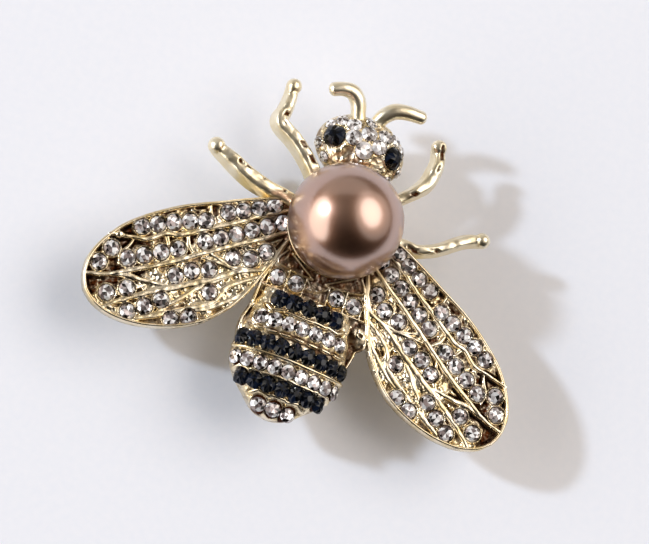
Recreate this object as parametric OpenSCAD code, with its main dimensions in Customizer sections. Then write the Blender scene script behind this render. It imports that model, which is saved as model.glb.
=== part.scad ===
// Insect brooch lying on its pin back, face up. Millimetres.
// +X is across the wings, +Y points from the tail to the head, +Z is up.
// The origin is on the surface it lies on, under the middle of its outline.

/* [Pearl] */
// Diameter of the round pearl
pearl_d = 12; // [10.5:0.1:13.5]
// Height of the pearl's centre above the back of the casting
pearl_rise = 4.6; // [4:0.1:5.2]
// Wall of the bowl that the pearl sits in
bowl_t = 0.8; // [0.5:0.05:1.2]

/* [Casting] */
// Thickness of the wing and body plates
plate_t = 1.15; // [0.9:0.05:1.6]
// Height of the rims and veins above the plates
vein_h = 0.3; // [0.15:0.05:0.5]
// Width of a vein
vein_w = 0.36; // [0.25:0.01:0.5]
// Width of the rim round each wing
rim_w = 0.5; // [0.3:0.05:0.8]

/* [Wings] */
// Length of a wing from its root to its tip
wing_len = 22.4; // [20:0.1:26]
// Greatest width of a wing
wing_w = 12.35; // [11:0.05:14]
// Angle from straight sideways back towards the tail
wing_sweep = 38; // [34:1:44]
// How far the wing's root is tucked under the pearl
wing_tuck = 1; // [0.6:0.1:1.4]

/* [Body] */
// How far the head and the abdomen sit to the left of the pearl
body_set = 0.35; // [-0.5:0.05:0.5]
// Length of the collar between the pearl and the abdomen
collar_len = 2.6; // [2.4:0.1:3.4]

/* [Abdomen] */
// Length of the abdomen from the collar to the tail's tip
abdomen_len = 12.9; // [12:0.1:15]
// Greatest width of the abdomen's dome
abdomen_w = 11.8; // [11:0.1:13.5]
// Height of the dome above the plate
dome_h = 2.5; // [2:0.1:3.2]
// Depth of the grooves between the stripes
groove = 0.45; // [0.2:0.05:0.7]
// Wall of the dome, which is hollow at the back
dome_wall = 1.35; // [1.2:0.05:1.6]

/* [Head] */
// Width of the head
head_w = 9.6; // [9:0.1:11]
// Length of the head
head_len = 7.4; // [7:0.1:9]
// Height of the head above the back of the casting
head_h = 3.1; // [2.7:0.1:3.6]
// Distance from the pearl's edge to the middle of the head
head_gap = 2.7; // [2.5:0.1:3.4]
// Diameter of an eye
eye_d = 2.1; // [1.7:0.05:2.3]

/* [Legs and antennae] */
// Reach of a leg from the thorax
leg_reach = 10; // [8:0.5:12]
// Width of the stoutest leg at its foot
leg_w = 1.9; // [1.4:0.05:2.2]
// Height of a leg's ridge above the back of the casting
leg_h = 1.9; // [1.4:0.05:2.3]
// Reach of an antenna from the head
feeler_reach = 4.4; // [3.6:0.1:5.2]
// Diameter of an antenna
feeler_d = 1.45; // [1.1:0.05:1.7]

/* [Stones] */
// Diameter of a stone on the wings, the collar and the head
stone_d = 1.55; // [1.3:0.05:1.6]
// Diameter of a stone in the stripes
stripe_d = 1.4; // [1.2:0.05:1.5]
// Least gap between two stones in a row
stone_gap = 0.1; // [0.1:0.01:0.2]
// Clearance round each stone and each other piece that is seated
seat_gap = 0.05; // [0.03:0.01:0.08]

/* [Pin back] */
// Clear gap between the pin's stem and the back of the casting
throat = 4.3; // [4.2:0.1:6]
// Distance from the middle of the hinge to the middle of the catch
pin_span = 23; // [20:0.5:24]
// Distance of the pin behind the pearl's middle
pin_back_set = 4.2; // [3.6:0.1:5.4]
// Width of the hinge and the catch
fitting_w = 4.6; // [4:0.1:5.2]
// Thickness of the pads that hold the hinge and the catch
pad_t = 0.6; // [0.4:0.05:0.9]
// Thickness of the strip that the hinge and the catch are bent from
strip_t = 0.6; // [0.5:0.05:0.8]
// Diameter of the stem
stem_d = 0.8; // [0.7:0.05:1]

/* [Hidden] */
gold = "#e6d08a";
steel = "#c9c5b4";
clear = "#e9e4ea";
navy = "#161c33";
bronze = "#a97a62";

// How deep the stem is let into the catch's strip
stem_bite = 0.1;
stem_z = strip_t - stem_bite + stem_d / 2;
back_z = stem_z + stem_d / 2 + throat;
floor_z = back_z + plate_t;
vein_z = floor_z + vein_h;
pearl_r = pearl_d / 2;
pearl_z = back_z + pearl_rise;
thorax_r = pearl_r - 0.5;
collar_y = -pearl_r - 0.1;
abdomen_y = collar_y - collar_len;
head_y = pearl_r + head_gap;
// Lip of the pearl's bowl: how far it stands inside the thorax's edge and above the veins
lip_in = 0.05;
lip_h = 0.1;
// Share of the head's length, from its middle, where the antennae start
brow_share = 0.45;
brow_y = head_y + brow_share * head_len;
front_reach = brow_y + brow_share * feeler_reach + feeler_d / 2;
// Place of the pearl's axis that puts the origin under the middle of the outline
pearl_y = (abdomen_len - abdomen_y - front_reach) / 2;

// Cut of a stone, as shares of its diameter, and how far its girdle lies below the metal
table_share = 0.56;
crown_share = 0.2;
pavilion_share = 0.42;
facets = 8;
girdle_drop = 0.05;

// Wing outline, a row for each station along the wing's axis:
// [place along, leading edge, trailing edge], shares of wing_len, wing_w and wing_w
WING = [
    [-0.10, 0.18, 0.06], [0.00, 0.27, 0.11], [0.09, 0.31, 0.225], [0.18, 0.345, 0.325],
    [0.27, 0.375, 0.425], [0.36, 0.41, 0.50], [0.45, 0.435, 0.54], [0.54, 0.445, 0.555],
    [0.63, 0.445, 0.535], [0.72, 0.43, 0.49], [0.80, 0.39, 0.43], [0.87, 0.335, 0.355],
    [0.93, 0.26, 0.265], [0.97, 0.17, 0.17], [0.99, 0.09, 0.09], [1.00, 0.00, 0.00]];

// Veins, a row for each: [height, points], with the height a share of vein_h and the points
// [place along, out], shares of wing_len and wing_w, with the leading edge at positive out
VEINS = [
    [0.95, [[-0.02, 0.135], [0.22, 0.158], [0.43, 0.186], [0.56, 0.235], [0.66, 0.245], [0.81, 0.363]]],
    [0.90, [[-0.02, -0.037], [0.22, -0.022], [0.45, -0.005], [0.63, 0.008], [0.80, 0.045], [0.965, 0.125]]],
    [0.85, [[0.17, -0.29], [0.29, -0.24], [0.47, -0.228], [0.66, -0.196], [0.82, -0.178], [0.95, -0.185]]],
    [0.80, [[0.20, -0.33], [0.34, -0.335], [0.45, -0.412], [0.60, -0.405], [0.74, -0.376], [0.86, -0.34]]],
    [0.75, [[0.02, -0.11], [0.15, -0.255], [0.21, -0.272], [0.31, -0.186], [0.40, -0.008]]],
    [0.70, [[0.295, -0.24], [0.345, -0.145], [0.44, -0.005]]],
    [0.65, [[0.625, -0.20], [0.68, -0.125], [0.74, -0.06], [0.80, 0.01], [0.86, 0.055]]],
    [0.60, [[0.33, -0.235], [0.48, -0.265], [0.59, -0.31], [0.67, -0.34], [0.735, -0.378]]],
    [0.55, [[0.205, -0.335], [0.29, -0.41], [0.39, -0.445], [0.50, -0.45], [0.60, -0.405]]],
    [0.50, [[0.455, -0.006], [0.465, 0.09], [0.452, 0.19]]],
    [0.45, [[0.37, -0.235], [0.38, -0.32], [0.41, -0.435]]]];

// Stone rows of a wing: [start along, start out, end along, end out, bow, count],
// shares of wing_len and wing_w, and the bow a share of the row's own length
WING_ROWS = [
    [0.022, 0.207, 0.243, 0.262, -0.02, 4], [0.356, 0.247, 0.650, 0.358, 0.02, 5],
    [0.011, 0.045, 0.391, 0.081, 0.00, 6], [0.524, 0.092, 0.762, 0.138, 0.00, 4],
    [0.817, 0.258, 0.894, 0.182, 0.00, 2], [0.131, -0.150, 0.290, -0.114, -0.12, 3],
    [0.416, -0.152, 0.575, -0.118, 0.06, 3], [0.447, -0.332, 0.447, -0.332, 0.00, 1],
    [0.674, -0.275, 0.839, -0.283, -0.02, 3], [0.809, -0.098, 0.905, -0.081, 0.00, 2],
    [0.580, -0.478, 0.661, -0.452, 0.00, 2]];

// Dome of the abdomen under its stripes, a row for each station:
// [place along, half width, height], shares of abdomen_len, abdomen_w / 2 and dome_h
DOME = [
    [0.00, 0.80, 0.60], [0.10, 0.86, 0.74], [0.27, 0.94, 0.90], [0.45, 1.00, 1.00],
    [0.62, 0.99, 0.98], [0.76, 0.84, 0.84], [0.86, 0.63, 0.64], [0.94, 0.42, 0.42], [1.00, 0.14, 0.12]];

// Stripes of stones: [place along, count, size], shares of abdomen_len and stripe_d
STRIPES = [
    [0.080, 5, 1.08], [0.256, 7, 1], [0.455, 9, 1], [0.626, 9, 1], [0.762, 7, 1], [0.925, 3, 1.12]];

// Flange round the front of the dome, which meets both wings. It is wider on the right,
// since the abdomen is set to the left. A row for each station: [place along, left edge, right edge],
// shares of abdomen_len and abdomen_w / 2, with the thorax at negative places
FLANGE = [
    [-0.42, 0.78, 0.78], [-0.20, 0.89, 0.89], [-0.08, 0.98, 0.98], [0.00, 1.00, 1.06],
    [0.10, 1.01, 1.13], [0.19, 1.04, 1.15], [0.24, 1.07, 1.03], [0.30, 1.10, 1.01],
    [0.38, 1.10, 0.97], [0.50, 1.05, 0.91]];

// Stones on the right half of the head: [across, along, size],
// shares of head_w / 2, head_len / 2 and stone_d
HEAD_STONES = [
    [0, -0.15, 1], [0.30, 0.11, 0.92], [0, 0.365, 0.92], [0.365, 0.49, 0.86], [0, 0.74, 0.72],
    [0.62, 0.53, 0.76], [0.83, 0.35, 0.62], [0.94, -0.25, 0.66], [0.73, -0.60, 0.62]];
EYE_PLACE = [0.70, 0.0];

// Collar stones: [across, along], shares of abdomen_w / 2 and collar_len
COLLAR_STONES = [[-0.72, 0.48], [-0.38, 0.46], [0.38, 0.46], [0.72, 0.48]];

// Edges of the collar's right half: [height, points], with the height a share of vein_h and
// the points [across, along], shares of abdomen_w / 2 and collar_len
COLLAR_EDGES = [
    [0.95, [[0.60, -0.62], [0.12, 0.05]]], [0.90, [[0.13, 0.09], [0.79, -0.10], [0.70, -0.70]]],
    [0.85, [[0.24, 0.05], [0.02, 0.45]]], [0.75, [[0.03, 0.94], [0.97, 0.93]]],
    [0.65, [[0.545, 0.02], [0.555, 0.92]]]];

// Legs: each has the angle of its root round the pearl, then a row for each knuckle,
// [across, along, height, width], shares of leg_reach, leg_reach, leg_h and leg_w
LEGS = [
    [132, [[0.04, -0.06, 0.8, 0.95], [-0.16, 0.15, 0.95, 0.95], [-0.36, 0.30, 1, 0.95],
           [-0.56, 0.42, 1, 0.95], [-0.55, 0.55, 0.9, 0.82], [-0.54, 0.69, 0.85, 0.76],
           [-0.55, 0.83, 0.6, 0.68]]],
    [42, [[-0.06, -0.04, 0.6, 0.6], [0.13, 0.17, 0.7, 0.58], [0.24, 0.285, 0.85, 0.64],
          [0.335, 0.42, 0.9, 0.74], [0.37, 0.57, 0.85, 0.76], [0.375, 0.69, 0.8, 0.74],
          [0.33, 0.83, 0.7, 0.68]]],
    [172, [[0.08, 0, 0.8, 0.9], [-0.13, 0.03, 0.9, 0.95], [-0.28, 0.04, 1, 1], [-0.445, 0.075, 1, 1.05],
           [-0.60, 0.13, 1, 1.02], [-0.76, 0.20, 0.95, 0.95], [-0.93, 0.265, 0.7, 0.74]]],
    [8, [[-0.08, 0, 0.6, 0.62], [0.21, 0.01, 0.75, 0.62], [0.31, 0.0, 0.8, 0.6], [0.43, 0.045, 0.8, 0.58],
         [0.55, 0.11, 0.8, 0.6], [0.78, 0.29, 0.75, 0.64], [0.945, 0.355, 0.7, 0.66]]]];
// Ridge of a leg against its foot, and a leg's round end against its last knuckle
ridge_share = 0.36;
toe_share = 1.1;

// Antennae: each has a row for each knuckle, [across, along, height, thickness],
// shares of feeler_reach, feeler_reach, head_h and feeler_d, from the head's brow
FEELERS = [
    [[-0.28, -0.20, 0.36, 1], [-0.36, 0.02, 0.42, 1], [-0.46, 0.25, 0.52, 1.03], [-0.66, 0.40, 0.62, 1.03],
     [-0.91, 0.39, 0.68, 0.96], [-1.19, 0.28, 0.66, 0.92]],
    [[0.10, -0.22, 0.36, 1], [0.16, 0.00, 0.42, 1], [0.26, 0.19, 0.52, 1.05], [0.46, 0.36, 0.60, 1.08],
     [0.76, 0.43, 0.64, 0.98], [1.15, 0.45, 0.60, 0.9]]];

function unit(v) = v / norm(v);
function left_of(v) = [-v.y, v.x];
// Smooth curve through the rows of a table, with n steps from each row to the next
function smooth(p, n) = [
    for (i = [0:len(p) - 2], k = [0:n - 1])
        let (a = p[max(i - 1, 0)], b = p[i], c = p[i + 1], d = p[min(i + 2, len(p) - 1)], t = k / n)
        b + 0.5 * t * (c - a + t * (2 * a - 5 * b + 4 * c - d + t * (3 * b - a - 3 * c + d))),
    p[len(p) - 1]];

// Outline of a wing in its own frame, with the root at the origin and the tip along +X
function wing_side(out) = smooth(
    [for (w = WING) [w.x * wing_len, out > 0 ? w.y * wing_w : -w.z * wing_w]], 2);
function wing_outline() =
    let (lead = wing_side(1), trail = wing_side(-1))
    concat(lead, [for (i = [len(trail) - 2:-1:0]) trail[i]]);

// Ribbon of width w along a chain of points
function ribbon(p, w) =
    let (n = len(p) - 1)
    let (side = [for (i = [0:n]) left_of(unit(p[min(i + 1, n)] - p[max(i - 1, 0)])) * w / 2])
    concat(p + side, [for (i = [n:-1:0]) p[i] - side[i]]);

// Places of the stones of one wing row, with as many as fit
function wing_row(r) =
    let (a = [r[0] * wing_len, r[1] * wing_w], b = [r[2] * wing_len, r[3] * wing_w], run = norm(b - a))
    let (n = min(r[5], 1 + floor(run / (stone_d + stone_gap) + 0.001)))
    n == 1 ? [a] : [for (i = [0:n - 1]) let (t = i / (n - 1))
        a + (b - a) * t + left_of(b - a) * r[4] * 4 * t * (1 - t)];

// Half width and height of the dome at a place along it
function dome_half(t) = lookup(t, [for (d = DOME) [d.x, d.y]]) * abdomen_w / 2;
function dome_top(t) = lookup(t, [for (d = DOME) [d.x, d.z]]) * dome_h;
// Length of half an ellipse of half width w and height h
function arch_len(w, h) = PI / 2 * (3 * (w + h) - sqrt((3 * w + h) * (w + 3 * h)));
// Angle on that ellipse at a run of length s down from its top, in steps of a quarter millimetre
function arch_angle(w, h, s, angle = 90) =
    let (step = min(s, 0.25), turn = step / norm([w * sin(angle), h * cos(angle)]) * 180 / PI)
    s <= 0 ? angle : arch_angle(w, h, s - step, angle - turn);

// Half the length of stripe i's belt, with room for a groove before and after it
function belt(i) =
    let (p = [for (s = STRIPES) s.x])
    let (before = p[i] - (i > 0 ? p[i - 1] : -1), after = (i < len(p) - 1 ? p[i + 1] : 2) - p[i])
    min(STRIPES[i].z * stripe_d * 0.56 / abdomen_len, 0.45 * before, 0.45 * after);
// Stations of the dome's rings: [place along, how far it is sunk into a groove]
function dome_stations() = concat([[0, groove]], [
    for (i = [0:len(STRIPES) - 1]) each concat(
        [[STRIPES[i].x - belt(i), 0], [STRIPES[i].x + belt(i), 0]],
        i < len(STRIPES) - 1
            ? [[(STRIPES[i].x + belt(i) + STRIPES[i + 1].x - belt(i + 1)) / 2, groove]] : [])], [[1, 0]]);

// Outline of the flange, down its right edge and up its left edge
function flange_point(place, out) = [out * abdomen_w / 2, abdomen_y - place * abdomen_len];
function flange_outline() = concat(
    [for (f = FLANGE) flange_point(f[0], f[2])],
    [for (i = [len(FLANGE) - 1:-1:0]) flange_point(FLANGE[i][0], -FLANGE[i][1])]);

// Height of the head's surface at a place, as a share of head_h
function head_share(x, y) = sqrt(max(0.01, 1 - x * x - y * y));

// Closed skin through rings that all have the same number of points
module skin(rings) {
    n = len(rings[0]);
    last = (len(rings) - 1) * n;
    polyhedron(
        points = [for (r = rings) each r],
        faces = concat(
            [[for (i = [0:n - 1]) i]],
            [for (k = [0:n:last - n], i = [0:n - 1]) let (j = (i + 1) % n) each [
                [k + i, k + n + i, k + n + j], [k + i, k + n + j, k + j]]],
            [[for (i = [n - 1:-1:0]) last + i]]),
        convexity = 6);
}

// Arched ring at place y: straight up to the spring height, then half an ellipse to the top
function arch(y, w, low, spring, top, steps) = concat([[w, y, low]],
    [for (i = [0:steps]) let (a = i * 180 / steps) [w * cos(a), y, spring + (top - spring) * sin(a)]],
    [[-w, y, low]]);

// Cut stone with its girdle at the origin and its table up
module stone(d) {
    r = d / 2;
    function ring(radius, z) = [for (i = [0:facets - 1])
        let (a = (i + 0.5) * 360 / facets) [radius * cos(a), radius * sin(a), z]];
    polyhedron(
        concat(ring(r * table_share, crown_share * d), ring(r, 0), [[0, 0, -pavilion_share * d]]),
        concat(
            [[for (i = [facets - 1:-1:0]) i]],
            [for (i = [0:facets - 1]) let (j = (i + 1) % facets) [i, j, facets + j, facets + i]],
            [for (i = [0:facets - 1]) let (j = (i + 1) % facets) [facets + i, facets + j, 2 * facets]]));
}

// Pocket that such a stone sits in, a cone under a straight wall that is open upwards
module pocket(d) {
    r = d / 2 + seat_gap / cos(180 / facets);
    depth = pavilion_share * 2 * r + seat_gap;
    rotate(180 / facets) rotate_extrude($fn = facets) polygon([[0, -depth], [r, 0], [r, d / 2], [0, d / 2]]);
}

// Turns its children so that +Z follows the direction n
module facing(n) {
    u = unit(n);
    turn = atan2(u.y, u.x);
    rotate([0, acos(u.z), turn]) rotate(-turn) children();
}

module in_pearl_frame() translate([0, pearl_y, 0]) children();

module in_body_frame() translate([-body_set, 0, 0]) children();

module both_sides() {
    children();
    mirror([1, 0, 0]) children();
}

module on_right_wing() translate([pearl_r - wing_tuck, -pearl_r / 3, 0]) rotate(-wing_sweep) children();

module at_wing_stones() on_right_wing() for (r = WING_ROWS, p = wing_row(r))
    translate([p.x, p.y, floor_z - girdle_drop]) children();

module at_collar_stones() for (c = COLLAR_STONES)
    translate([c.x * abdomen_w / 2, collar_y - c.y * collar_len, vein_z - girdle_drop]) children();

module at_stripe_stones(row) in_body_frame() {
    t = STRIPES[row].x;
    size = STRIPES[row].z * stripe_d;
    pitch = size + stone_gap;
    w = dome_half(t);
    h = dome_top(t);
    n = min(STRIPES[row].y, 1 + floor((arch_len(w, h) - size) / pitch));
    for (i = [0:n - 1]) {
        run = (i - (n - 1) / 2) * pitch;
        angle = arch_angle(w, h, abs(run));
        translate([sign(run) * w * cos(angle), abdomen_y - t * abdomen_len, floor_z + h * sin(angle)])
            facing([sign(run) * h * cos(angle), 0, w * sin(angle)]) children();
    }
}

module on_head(x, y) in_body_frame() {
    z = head_share(x, y);
    translate([x * head_w / 2, head_y + y * head_len / 2, back_z + z * head_h])
        facing([2 * x / head_w, 2 * y / head_len, z / head_h]) children();
}

module wing_plate() on_right_wing() translate([0, 0, back_z]) {
    difference() {
        linear_extrude(plate_t + vein_h) polygon(wing_outline());
        translate([0, 0, plate_t]) linear_extrude(plate_t) offset(delta = -rim_w) polygon(wing_outline());
    }
    for (v = VEINS) translate([0, 0, plate_t / 2]) linear_extrude(plate_t / 2 + v[0] * vein_h)
        polygon(ribbon([for (p = v[1]) [p.x * wing_len, p.y * wing_w]], vein_w));
}

// Plate of the thorax and the collar, with the flange round the front of the dome
module body_plate() translate([0, 0, back_z]) {
    linear_extrude(plate_t) {
        circle(thorax_r, $fn = 32);
        polygon(flange_outline());
    }
    both_sides() translate([0, 0, plate_t / 2]) {
        for (e = COLLAR_EDGES) linear_extrude(plate_t / 2 + e[0] * vein_h)
            polygon(ribbon([for (p = e[1]) [p.x * abdomen_w / 2, collar_y - p.y * collar_len]], vein_w));
        linear_extrude(plate_t / 2 + vein_h) hull() for (c = COLLAR_STONES) if (c.x > 0)
            translate([c.x * abdomen_w / 2, collar_y - c.y * collar_len])
                circle(d = stone_d + vein_w, $fn = 16);
    }
}

module dome() in_body_frame() skin([for (s = dome_stations())
    let (w = dome_half(s[0]) - s[1] / 2, top = floor_z + dome_top(s[0]) - s[1])
    arch(abdomen_y - s[0] * abdomen_len, w, back_z, floor_z, top, 10)]);

// Hollow in the back of the dome
module dome_hollow() in_body_frame() skin([for (d = DOME) if (d.x > 0.2 && d.x < 0.8)
    let (w = dome_half(d.x) - dome_wall, top = floor_z + dome_top(d.x) - dome_wall)
    arch(abdomen_y - d.x * abdomen_len, w, back_z - 1, back_z, top, 8)]);

module head_dome() in_body_frame() intersection() {
    translate([0, head_y, back_z]) scale([head_w / 2, head_len / 2, head_h]) sphere(1, $fn = 24);
    translate([-head_w / 2, head_y - head_len / 2, back_z]) cube([head_w, head_len, head_h]);
}

// Leg from its root, a ridge that runs from knuckle to knuckle and ends in a round toe
module leg(angle, knuckles) translate([thorax_r * cos(angle), thorax_r * sin(angle), back_z]) {
    for (i = [0:len(knuckles) - 2]) hull() for (k = [knuckles[i], knuckles[i + 1]])
        translate([k[0] * leg_reach, k[1] * leg_reach, 0])
            cylinder(d1 = k[3] * leg_w, d2 = ridge_share * k[3] * leg_w, h = k[2] * leg_h, $fn = 6);
    end = knuckles[len(knuckles) - 1];
    toe_d = toe_share * end[3] * leg_w;
    translate([end[0] * leg_reach, end[1] * leg_reach, toe_d / 2]) sphere(d = toe_d, $fn = 10);
}

module feeler(knuckles) in_body_frame() translate([0, brow_y, back_z])
    for (i = [0:len(knuckles) - 2]) hull() for (k = [knuckles[i], knuckles[i + 1]])
        translate([k[0] * feeler_reach, k[1] * feeler_reach, k[2] * head_h]) sphere(d = k[3] * feeler_d, $fn = 8);

// Bowl under the pearl
module bowl() intersection() {
    translate([0, 0, pearl_z]) sphere(pearl_r + seat_gap + bowl_t, $fn = 32);
    cylinder(r = thorax_r - lip_in, h = vein_z + lip_h, $fn = 32);
}

module casting() color(gold) in_pearl_frame() difference() {
    union() {
        body_plate();
        both_sides() wing_plate();
        bowl();
        dome();
        head_dome();
        for (l = LEGS) leg(l[0], l[1]);
        for (f = FEELERS) feeler(f);
    }
    translate([0, 0, pearl_z]) sphere(pearl_r + seat_gap, $fn = 32);
    dome_hollow();
    both_sides() at_wing_stones() pocket(stone_d);
    at_collar_stones() pocket(stone_d);
    for (row = [0:len(STRIPES) - 1]) at_stripe_stones(row) pocket(STRIPES[row].z * stripe_d);
    for (s = HEAD_STONES, side = s.x > 0 ? [-1, 1] : [1]) on_head(side * s.x, s.y) pocket(s.z * stone_d);
    for (side = [-1, 1]) on_head(side * EYE_PLACE.x, EYE_PLACE.y) pocket(eye_d);
}

module pearl() color(bronze) in_pearl_frame() translate([0, 0, pearl_z]) sphere(pearl_r, $fn = 96);

module eye(side) color(navy) in_pearl_frame() on_head(side * EYE_PLACE.x, EYE_PLACE.y) stone(eye_d);

module wing_stones(side) color(clear) in_pearl_frame()
    mirror([side < 0 ? 1 : 0, 0, 0]) at_wing_stones() stone(stone_d);

module head_stones() color(clear) in_pearl_frame()
    for (s = HEAD_STONES, side = s.x > 0 ? [-1, 1] : [1]) on_head(side * s.x, s.y) stone(s.z * stone_d);

module collar_stones() color(clear) in_pearl_frame() at_collar_stones() stone(stone_d);

module stripe(row, tint) color(tint) in_pearl_frame() at_stripe_stones(row) stone(STRIPES[row].z * stripe_d);

// Hinge, stem and catch of the pin, in one plain piece
module pin_back() color(steel) in_pearl_frame() translate([0, -pin_back_set, 0]) {
    pad_z = back_z - seat_gap - pad_t;
    fitting_len = 2.6;
    barrel_d = 2 * stem_d;
    tip_len = 1.2;
    for (x = [-1, 1]) translate([x * pin_span / 2, 0, pad_z]) cylinder(d = fitting_w, h = pad_t, $fn = 48);
    // Ears of the hinge and the barrel between them
    translate([-pin_span / 2, 0, 0]) {
        for (y = [-fitting_w / 2, fitting_w / 2 - strip_t])
            translate([-fitting_len / 2, y, 0]) cube([fitting_len, strip_t, pad_z + pad_t / 2]);
        translate([0, fitting_w / 2 - strip_t / 2, stem_z]) rotate([90, 0, 0])
            cylinder(d = min(barrel_d, 2 * stem_z), h = fitting_w - strip_t, $fn = 32);
    }
    // Stem with its point past the catch
    translate([-pin_span / 2, 0, stem_z]) rotate([0, 90, 0]) {
        cylinder(d = stem_d, h = pin_span + fitting_len / 2, $fn = 32);
        translate([0, 0, pin_span + fitting_len / 2]) cylinder(d1 = stem_d, d2 = stem_d / 4, h = tip_len, $fn = 32);
    }
    // Catch, a strip bent under the stem and open at one side
    translate([pin_span / 2 - fitting_len / 2, -fitting_w / 2, 0]) {
        cube([fitting_len, fitting_w, strip_t]);
        cube([fitting_len, strip_t, pad_z + pad_t / 2]);
        translate([0, fitting_w - strip_t, 0]) cube([fitting_len, strip_t, stem_z + stem_d]);
    }
}

casting();
pearl();
eye(-1);  // eye_left
eye(1);  // eye_right
wing_stones(-1);  // wing_stones_left
wing_stones(1);  // wing_stones_right
head_stones();
collar_stones();
stripe(0, navy);  // stripe_1_navy
stripe(1, clear);  // stripe_2_clear
stripe(2, navy);  // stripe_3_navy
stripe(3, clear);  // stripe_4_clear
stripe(4, navy);  // stripe_5_navy
stripe(5, clear);  // tail_stones
pin_back();
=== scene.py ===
"""Bee brooch lying on its pin back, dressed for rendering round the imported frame.

The casting, the stones, the pearl and the pin back are modelled in millimetres, in the frame's own
axes, and scaled to metres when a piece is finished.
"""
import logging
import math
from contextlib import contextmanager
from dataclasses import dataclass, field
from enum import Enum
from typing import Iterator

import bmesh
import bpy
import numpy as np
from bpy.types import Material, Node, NodeTree, Object
from mathutils import Matrix, Vector


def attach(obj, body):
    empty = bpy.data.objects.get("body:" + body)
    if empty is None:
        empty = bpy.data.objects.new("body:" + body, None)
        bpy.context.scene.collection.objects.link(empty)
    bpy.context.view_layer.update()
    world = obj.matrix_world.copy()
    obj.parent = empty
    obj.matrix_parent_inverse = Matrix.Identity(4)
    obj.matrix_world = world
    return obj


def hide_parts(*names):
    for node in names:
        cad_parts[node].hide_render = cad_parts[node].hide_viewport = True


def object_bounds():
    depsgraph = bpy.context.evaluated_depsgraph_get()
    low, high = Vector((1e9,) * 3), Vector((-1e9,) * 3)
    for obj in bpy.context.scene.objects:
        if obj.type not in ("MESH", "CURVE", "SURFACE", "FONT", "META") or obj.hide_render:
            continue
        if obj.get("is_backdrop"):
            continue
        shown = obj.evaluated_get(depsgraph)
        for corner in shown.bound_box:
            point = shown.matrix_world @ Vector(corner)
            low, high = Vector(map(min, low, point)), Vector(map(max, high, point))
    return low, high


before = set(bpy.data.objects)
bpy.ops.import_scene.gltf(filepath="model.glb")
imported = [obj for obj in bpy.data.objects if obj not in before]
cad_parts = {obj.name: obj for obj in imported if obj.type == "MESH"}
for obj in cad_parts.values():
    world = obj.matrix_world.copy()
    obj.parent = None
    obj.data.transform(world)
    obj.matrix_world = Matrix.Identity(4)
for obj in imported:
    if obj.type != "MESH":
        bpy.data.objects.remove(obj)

CAD_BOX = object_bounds()
MM = 0.001
# A distance or a depth in mm so large that what lies past it no longer counts
FAR = 9.0
# Depth of a cut stone below its girdle, a share of its width
PAVILION = 0.42
# Value of the recess colour that paints shade on lower edges and backs
UNDERSIDE_SHADE = 0.12
log = logging.getLogger("bee_brooch")


class Side(Enum):
    """Side of the brooch, seen from above with the head up."""

    LEFT = -1
    RIGHT = 1


@dataclass(frozen=True)
class Cut:
    """Shares of a cut stone's width, and how square its outline is, from 2 for a round one."""

    table: float
    star: float
    crown: float
    star_rise: float
    square: float


class StoneKind(Enum):
    """Kinds of cut stone."""

    CLEAR = Cut(table=0.29, star=0.42, crown=0.17, star_rise=0.11, square=2.0)
    # The head's stones: the same clear glass, drawn with lighter painted glints
    BRIGHT = Cut(table=0.27, star=0.41, crown=0.19, star_rise=0.13, square=2.0)
    NAVY = Cut(table=0.17, star=0.37, crown=0.30, star_rise=0.20, square=3.6)

    @property
    def slot(self) -> str:
        """The record's material slot of the stone."""
        return "navy_stone" if self is StoneKind.NAVY else "clear_stone"


@dataclass(frozen=True)
class Levels:
    """Heights, centres and sizes that several sub-assemblies share, in mm.

    The y of the abdomen and of the head count from the pearl's middle, and the others from the
    frame's origin.
    """

    pearl_y: float = 3.4325
    pearl_z: float = 10.2
    pearl_r: float = 6.0
    back: float = 5.6
    floor: float = 6.75
    rim: float = 0.3
    thorax_r: float = 5.5
    body_set: float = 0.35
    abdomen_y: float = -8.7
    abdomen_len: float = 12.9
    abdomen_half: float = 5.9
    head_y: float = 8.7
    head_half: float = 4.8
    head_half_len: float = 3.7
    head_h: float = 3.1
    pin_y: float = -0.7675


AT = Levels()


# Modelling helpers


def deselect() -> None:
    """Deselects every object."""
    bpy.ops.object.select_all(action="DESELECT")


def face_outwards() -> None:
    """Turns every face of the mesh in edit mode outwards."""
    bpy.ops.mesh.select_all(action="SELECT")
    bpy.ops.mesh.normals_make_consistent(inside=False)


def pick(piece: Object) -> None:
    """Makes the piece the only selected and active object.

    Args:
        piece: Any object of the scene.
    """
    deselect()
    piece.select_set(True)
    bpy.context.view_layer.objects.active = piece


@contextmanager
def editing(piece: Object) -> Iterator[bmesh.types.BMesh]:
    """Opens the piece in edit mode for the length of a with block.

    Args:
        piece: The mesh object to edit.

    Returns:
        Its edit mesh, as the value of the with block.
    """
    pick(piece)
    bpy.ops.object.mode_set(mode="EDIT")
    try:
        yield bmesh.from_edit_mesh(piece.data)
    finally:
        bpy.ops.object.mode_set(mode="OBJECT")


def read_points(piece: Object) -> np.ndarray:
    """Reads the places of the piece's vertices.

    Args:
        piece: A mesh object.

    Returns:
        A row of x, y and z for each vertex.
    """
    flat = np.empty(len(piece.data.vertices) * 3)
    piece.data.vertices.foreach_get("co", flat)
    return flat.reshape(-1, 3)


def move_points(piece: Object, points: np.ndarray) -> None:
    """Moves every vertex of the piece to its row of points."""
    piece.data.vertices.foreach_set("co", points.ravel())
    piece.data.update()


def write_tint(piece: Object, name: str, values: np.ndarray, domain: str = "POINT") -> None:
    """Stores a grey value for each vertex or corner as a colour attribute.

    Args:
        piece: The mesh object that gets the attribute.
        name: Name that the material reads it by.
        values: One value from 0 to 1 for each vertex or corner.
        domain: POINT or CORNER.
    """
    layer = piece.data.color_attributes.new(name, "FLOAT_COLOR", domain)
    rows = np.ones((len(values), 4))
    rows[:, :3] = np.clip(values, 0, 1)[:, None]
    layer.data.foreach_set("color", rows.ravel())


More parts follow.
